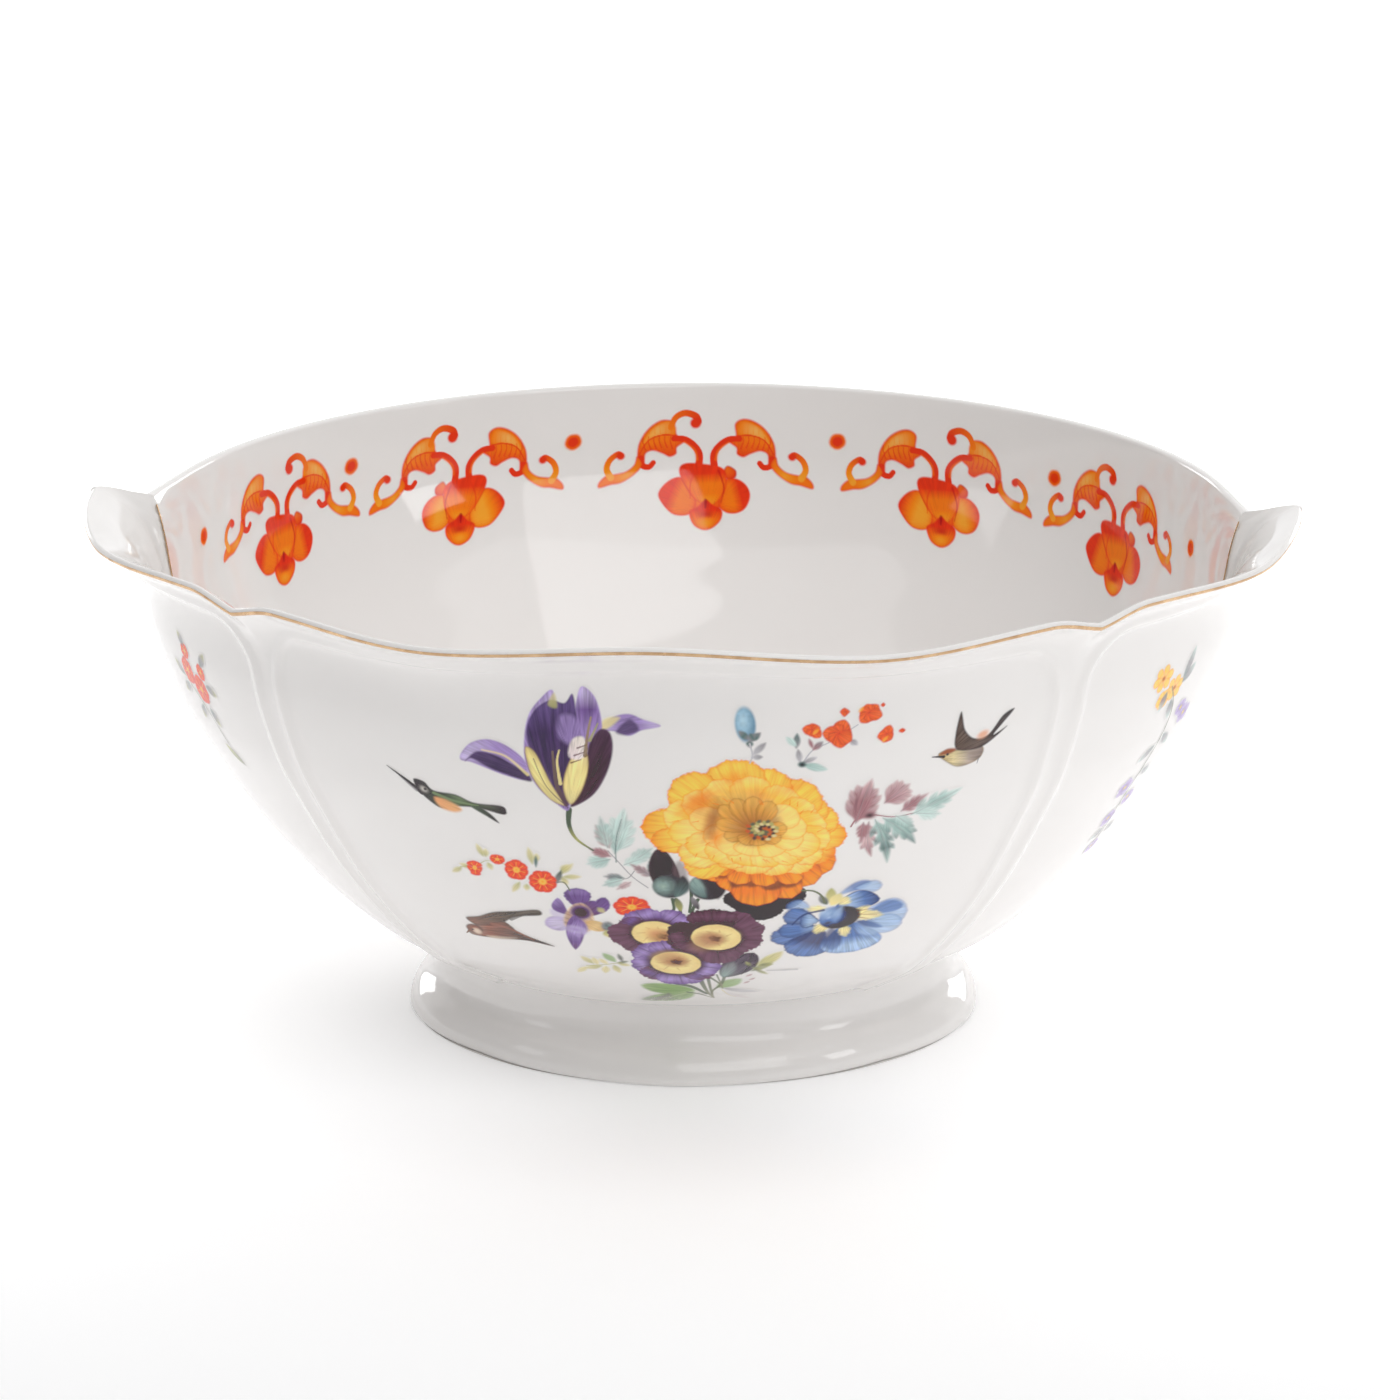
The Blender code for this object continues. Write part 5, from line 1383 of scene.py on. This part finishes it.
def paintRightSpray(sheet):
    for place, ru, rv in (((-12, 115.4), 4.6, 3.8), ((-4.6, 111.4), 4.4, 3.6), ((-9, 109), 3.2, 2.8)):
        x, y = place
        for k in range(6):
            a = k * math.pi / 3 + 0.3
            leaf(sheet, place, (x + ru * math.cos(a), y + rv * math.sin(a)), 2.8,
                tones("straw", "yellow", "paleYellow"), belly=1.6, blunt=0.6, rim=hue["amber"],
                rimWidth=0.25, streak=0.3)
        spot(sheet, place, 0.9, 0.8, tones("brown", "amber"), soft=0.4)
    for place, ru, rv in (((-4.6, 81), 3.2, 3.4), ((-2, 70), 2.8, 3.0), ((1.6, 59), 2.4, 2.8),
            ((8, 101), 3.4, 3.0), ((4.6, 103.4), 2.8, 2.4), ((2, 76), 2.2, 2.6)):
        x, y = place
        for k in range(5):
            a = k * math.pi * 0.4 + x
            leaf(sheet, place, (x + ru * math.cos(a), y + rv * math.sin(a)), 2.8,
                tones("violet", "lilac", "paleLilac"), belly=1.5, blunt=0.6, rim=hue["lilac"],
                rimWidth=0.3, streak=0.3, cover=0.9)
        spot(sheet, place, 0.7, 0.7, tones("yellow", "olive"), soft=0.4)
    for base, tip in (((-1, 113), (2.6, 121)), ((-1, 112), (4.6, 116)), ((-8, 111), (-9, 105.6)),
            ((-4, 108), (-2, 102)), ((0, 97), (5, 93)), ((-2, 94), (-7, 90)), ((0, 86), (4, 84)),
            ((0, 66), (-4, 63)), ((3, 66), (6, 64))):
        leaf(sheet, base, tip, 2.7, tones("darkTeal", "grey", "paleTeal"), blunt=0.75, streak=0.4,
            soft=0.5, cover=0.85, teeth=0.1)
    vein(sheet, [(-6, 112), (-1, 104), (-1, 92), (-1, 76), (2, 58)], hue["stem"], 0.5, 0.35, cover=0.75)


# prints as films on the glaze

printing = {
    "step": 0.2,             # millimetres between painted points of the bouquet
    "coarseStep": 0.25,      # and of the border and the sprays
    "bouquet": (-75, 95, 5, 134),      # left, right, bottom and top of the sheets
    "border": (-183, 171, 90, 128),
    "spray": (-20, 20, 52, 126),
    "bouquetWaist": 66,      # the bouquet is three films, cut at this height
    "bouquetMiddle": -1,     # and above it at this place
    "leftSprayAngle": -62,
    "rightSprayAngle": 66,
    "lift": 0.00005,
    "gain": 1.19,            # the colours above are as seen on the fired bowl, darker than the enamel is
    "gloss": 0.030,          # and with this much of the gloss in them
    "edge": 0.006,           # below this cover there is no film
}


def sheetPoints(half, angle0, inside, u, v):
    # every row of a sheet lies at one length along the middle meridian, and u is arc length at that row
    fine = np.linspace(0, 1, 2001)[None, :]
    lift = -wallThickness(half, fine) if inside else np.zeros_like(fine)
    r, z = meridian(half, np.zeros_like(fine), fine, lift)
    flat = placed(half, np.zeros_like(fine), fine, r, z)[0]
    length = np.concatenate([[0], np.cumsum(np.linalg.norm(np.diff(flat, axis=0), axis=1))])
    radius = np.abs(flat[:, 1] - bowl["axisY"])
    rowV = np.interp(v * milli, length, fine[0])
    rowRadius = np.interp(v * milli, length, radius)
    angle = np.degrees(u[None, :] * milli / rowRadius[:, None]) + angle0
    rows = np.broadcast_to(rowV[:, None], angle.shape)
    if inside:
        r, z = meridian(half, angle, rows, -wallThickness(half, rows) - printing["lift"])
    else:
        r, z = meridian(half, angle.T, rows.T, outsideLift(half, angle.T, rows.T) + printing["lift"])
        r, z = r.T, z.T
    return placed(half, angle, rows, r, z)


def layPrint(name, half, sheet, angle0, inside, region):
    # the painted faces of a sheet in a region, as a film with its paint on the points
    points = sheetPoints(half, angle0, inside, sheet["u"], sheet["v"])
    rows, columns = sheet["alpha"].shape
    faces = gridFaces(rows, columns)
    if inside:
        faces = faces[:, ::-1]
    alpha = sheet["alpha"].ravel()
    i, k = faces[:, 0] // columns, faces[:, 0] % columns
    keep = (alpha[faces].max(axis=1) > printing["edge"]) & region(sheet["u"][k], sheet["v"][i])
    faces = faces[keep]
    used, renumbered = np.unique(faces, return_inverse=True)
    made = addMesh(name, points.reshape(-1, 3)[used], [renumbered.reshape(faces.shape)])
    colour = np.clip(sheet["rgb"].reshape(-1, 3)[used] * printing["gain"] - printing["gloss"], 0.001, 1)
    paint = made.data.attributes.new("paint", "FLOAT_COLOR", "POINT")
    paint.data.foreach_set("color", np.concatenate([colour, alpha[used][:, None]],
        axis=1).astype(np.float32).ravel())
    flat = np.stack([used % columns / (columns - 1), used // columns / (rows - 1)], axis=1)
    low, high = flat.min(0), flat.max(0)
    flat = 0.004 + 0.992 * (flat - low) / (high - low)
    layer = made.data.uv_layers.new(name="OFBake")
    loops = np.empty(len(made.data.loops), np.int32)
    made.data.loops.foreach_get("vertex_index", loops)
    layer.data.foreach_set("uv", flat[loops].astype(np.float32).ravel())
    print(name, len(faces) * 2, "triangles")
    return made


def everywhere(u, v):
    return np.full(u.shape, True)


waist, middle = printing["bouquetWaist"], printing["bouquetMiddle"]
bouquetSheet = newSheet(*printing["bouquet"], printing["step"])
paintBouquet(bouquetSheet)
print("bouquet painted")
enamel = makeEnamel("bouquetEnamel")
bouquetParts = {
    "lowerBouquet": lambda u, v: v < waist,
    "leftBouquet": lambda u, v: (v >= waist) & (u < middle),
    "rightBouquet": lambda u, v: (v >= waist) & (u >= middle),
}
for name, region in bouquetParts.items():
    film = layPrint(name, lobedHalf, bouquetSheet, 0.0, False, region)
    finishPiece(film, enamel, "bouquet_enamel", "bouquet_print")

borderSheet = newSheet(*printing["border"], printing["coarseStep"])
paintBorder(borderSheet)
film = layPrint("borderPrint", roundHalf, borderSheet, 0.0, True, everywhere)
finishPiece(film, makeEnamel("borderEnamel"), "border_enamel", "border_print")

sprayEnamel = makeEnamel("sprayEnamel")
sprays = (
    ("leftSpray", "left_spray_print", paintLeftSpray, printing["leftSprayAngle"]),
    ("rightSpray", "right_spray_print", paintRightSpray, printing["rightSprayAngle"]),
)
for name, node, painter, angle in sprays:
    spray = newSheet(*printing["spray"], printing["coarseStep"])
    painter(spray)
    film = layPrint(name, lobedHalf, spray, angle, False, everywhere)
    finishPiece(film, sprayEnamel, "spray_enamel", node)
print("prints done")


# floor, light and camera

view = {
    "reach": 1.7745,          # metres from the camera to the point it looks at
    "elevation": 15.74,
    "azimuth": 3.72,
    "targetHeight": 0.0777,
    "aside": 0.0016,
    "lens": 182.4,
    "sensor": 36.0,
}


def placeCamera():
    camera = bpy.data.cameras.new("camera")
    camera.lens = view["lens"]
    camera.sensor_width = view["sensor"]
    camera.clip_start = 0.05
    camera.clip_end = 50
    made = bpy.data.objects.new("camera", camera)
    bpy.context.scene.collection.objects.link(made)
    turn, lift = math.radians(view["azimuth"]), math.radians(view["elevation"])
    target = np.array([view["aside"] * math.cos(turn), bowl["axisY"] + view["aside"] * math.sin(turn),
        view["targetHeight"]])
    away = np.array([math.sin(turn) * math.cos(lift), -math.cos(turn) * math.cos(lift), math.sin(lift)])
    made.location = target + away * view["reach"]
    made.rotation_euler = (math.pi / 2 - lift, 0, turn)
    bpy.context.scene.camera = made


studio = {
    "world": (1.0, 1.0, 1.0, 1),
    "worldStrength": 0.22,
    "floor": (0.93, 0.93, 0.935, 1),
    "floorGlow": (0.06, 0.34),     # painted light: the paper glows a little, more so from the bowl backwards
    "glowFrom": -0.38,             # between these two distances in y
    "glowTo": -0.05,
    "shade": 0.5,                  # painted shadow: share of the glow that is left under the bowl
    "paintedShadowRadii": (0.055, 0.15),
}

# place, what it faces, width, height and power of each light
softboxes = {
    "ceiling": ((0.4, 0.6, 3.0), (0.4, 0.6, 0), 6.0, 6.0, 80),
    "frontFill": ((1.05, -2.15, 2.15), (0, 0, 0.06), 2.2, 1.9, 24),
    "leftBox": ((-1.5, -0.5, 0.7), (0, 0, 0.05), 0.4, 0.4, 0.7),
    "rightBox": ((1.5, -0.5, 0.7), (0, 0, 0.05), 0.4, 0.4, 1.7),
    "backLeft": ((-0.50, 0.72, 0.20), (0, 0, 0.1), 0.3, 0.3, 1.1),
    "backRight": ((0.46, 0.76, 0.20), (0, 0, 0.1), 0.3, 0.3, 1.1),
}


def makeStage():
    # a wide floor that curves up far behind the bowl; its glow is painted light, held back near the bowl as a
    # painted shadow
    t = np.linspace(0, 1, 60)
    y = np.concatenate([np.linspace(-4, 2.0, 20), 2.0 + 1.5 * np.sin(t * np.pi / 2), [3.5]])
    z = np.concatenate([np.zeros(20), 1.5 * (1 - np.cos(t * np.pi / 2)), [4.0]])
    x = np.linspace(-5, 5, 12)
    points = np.stack([np.broadcast_to(x[:, None], (len(x), len(y))), np.broadcast_to(y, (len(x), len(y))),
                       np.broadcast_to(z, (len(x), len(y)))], axis=-1)
    floor = addMesh("studioFloor", points.reshape(-1, 3), [gridFaces(len(x), len(y))])
    material, tree, shader = newMaterial("paperFloor")
    shader.inputs["Base Color"].default_value = studio["floor"]
    shader.inputs["Roughness"].default_value = 0.8
    shader.inputs["Specular IOR Level"].default_value = 0.0
    shader.inputs["Emission Color"].default_value = (1, 1, 1, 1)
    place = addNode(tree, "ShaderNodeTexCoord", -900, -200)
    split = addNode(tree, "ShaderNodeSeparateXYZ", -700, -200)
    tree.links.new(place.outputs["Object"], split.inputs[0])
    # painted light: the floor's glow rises from front to back
    glow = addNode(tree, "ShaderNodeMapRange", -400, -200)
    glow.inputs["From Min"].default_value = studio["glowFrom"]
    glow.inputs["From Max"].default_value = studio["glowTo"]
    glow.inputs["To Min"].default_value, glow.inputs["To Max"].default_value = studio["floorGlow"]
    tree.links.new(split.outputs["Y"], glow.inputs["Value"])
    # painted shadow: the glow is held back near the bowl's middle
    away = addNode(tree, "ShaderNodeVectorMath", -700, -480, operation="LENGTH")
    tree.links.new(place.outputs["Object"], away.inputs[0])
    near = addNode(tree, "ShaderNodeMapRange", -400, -480)
    near.inputs["From Min"].default_value, near.inputs["From Max"].default_value = studio["paintedShadowRadii"]
    near.inputs["To Min"].default_value = studio["shade"]
    tree.links.new(away.outputs["Value"], near.inputs["Value"])
    both = addNode(tree, "ShaderNodeMath", -180, -300, operation="MULTIPLY")
    tree.links.new(glow.outputs["Result"], both.inputs[0])
    tree.links.new(near.outputs["Result"], both.inputs[1])
    tree.links.new(both.outputs["Value"], shader.inputs["Emission Strength"])
    floor.data.materials.append(material)


def softbox(name, place, aim, width, height, power):
    light = bpy.data.lights.new(name, "AREA")
    light.shape = "RECTANGLE"
    light.size, light.size_y = width, height
    light.energy = power
    made = bpy.data.objects.new(name, light)
    bpy.context.scene.collection.objects.link(made)
    made.location = place
    made.rotation_euler = (Vector(aim) - Vector(place)).to_track_quat("-Z", "Y").to_euler()


world = bpy.data.worlds.new("studioWorld")
world.use_nodes = True
world.node_tree.nodes["Background"].inputs["Color"].default_value = studio["world"]
world.node_tree.nodes["Background"].inputs["Strength"].default_value = studio["worldStrength"]
bpy.context.scene.world = world
bpy.context.scene.view_settings.view_transform = "Standard"
makeStage()
for name, values in softboxes.items():
    softbox(name, *values)
placeCamera()
print("studio done")
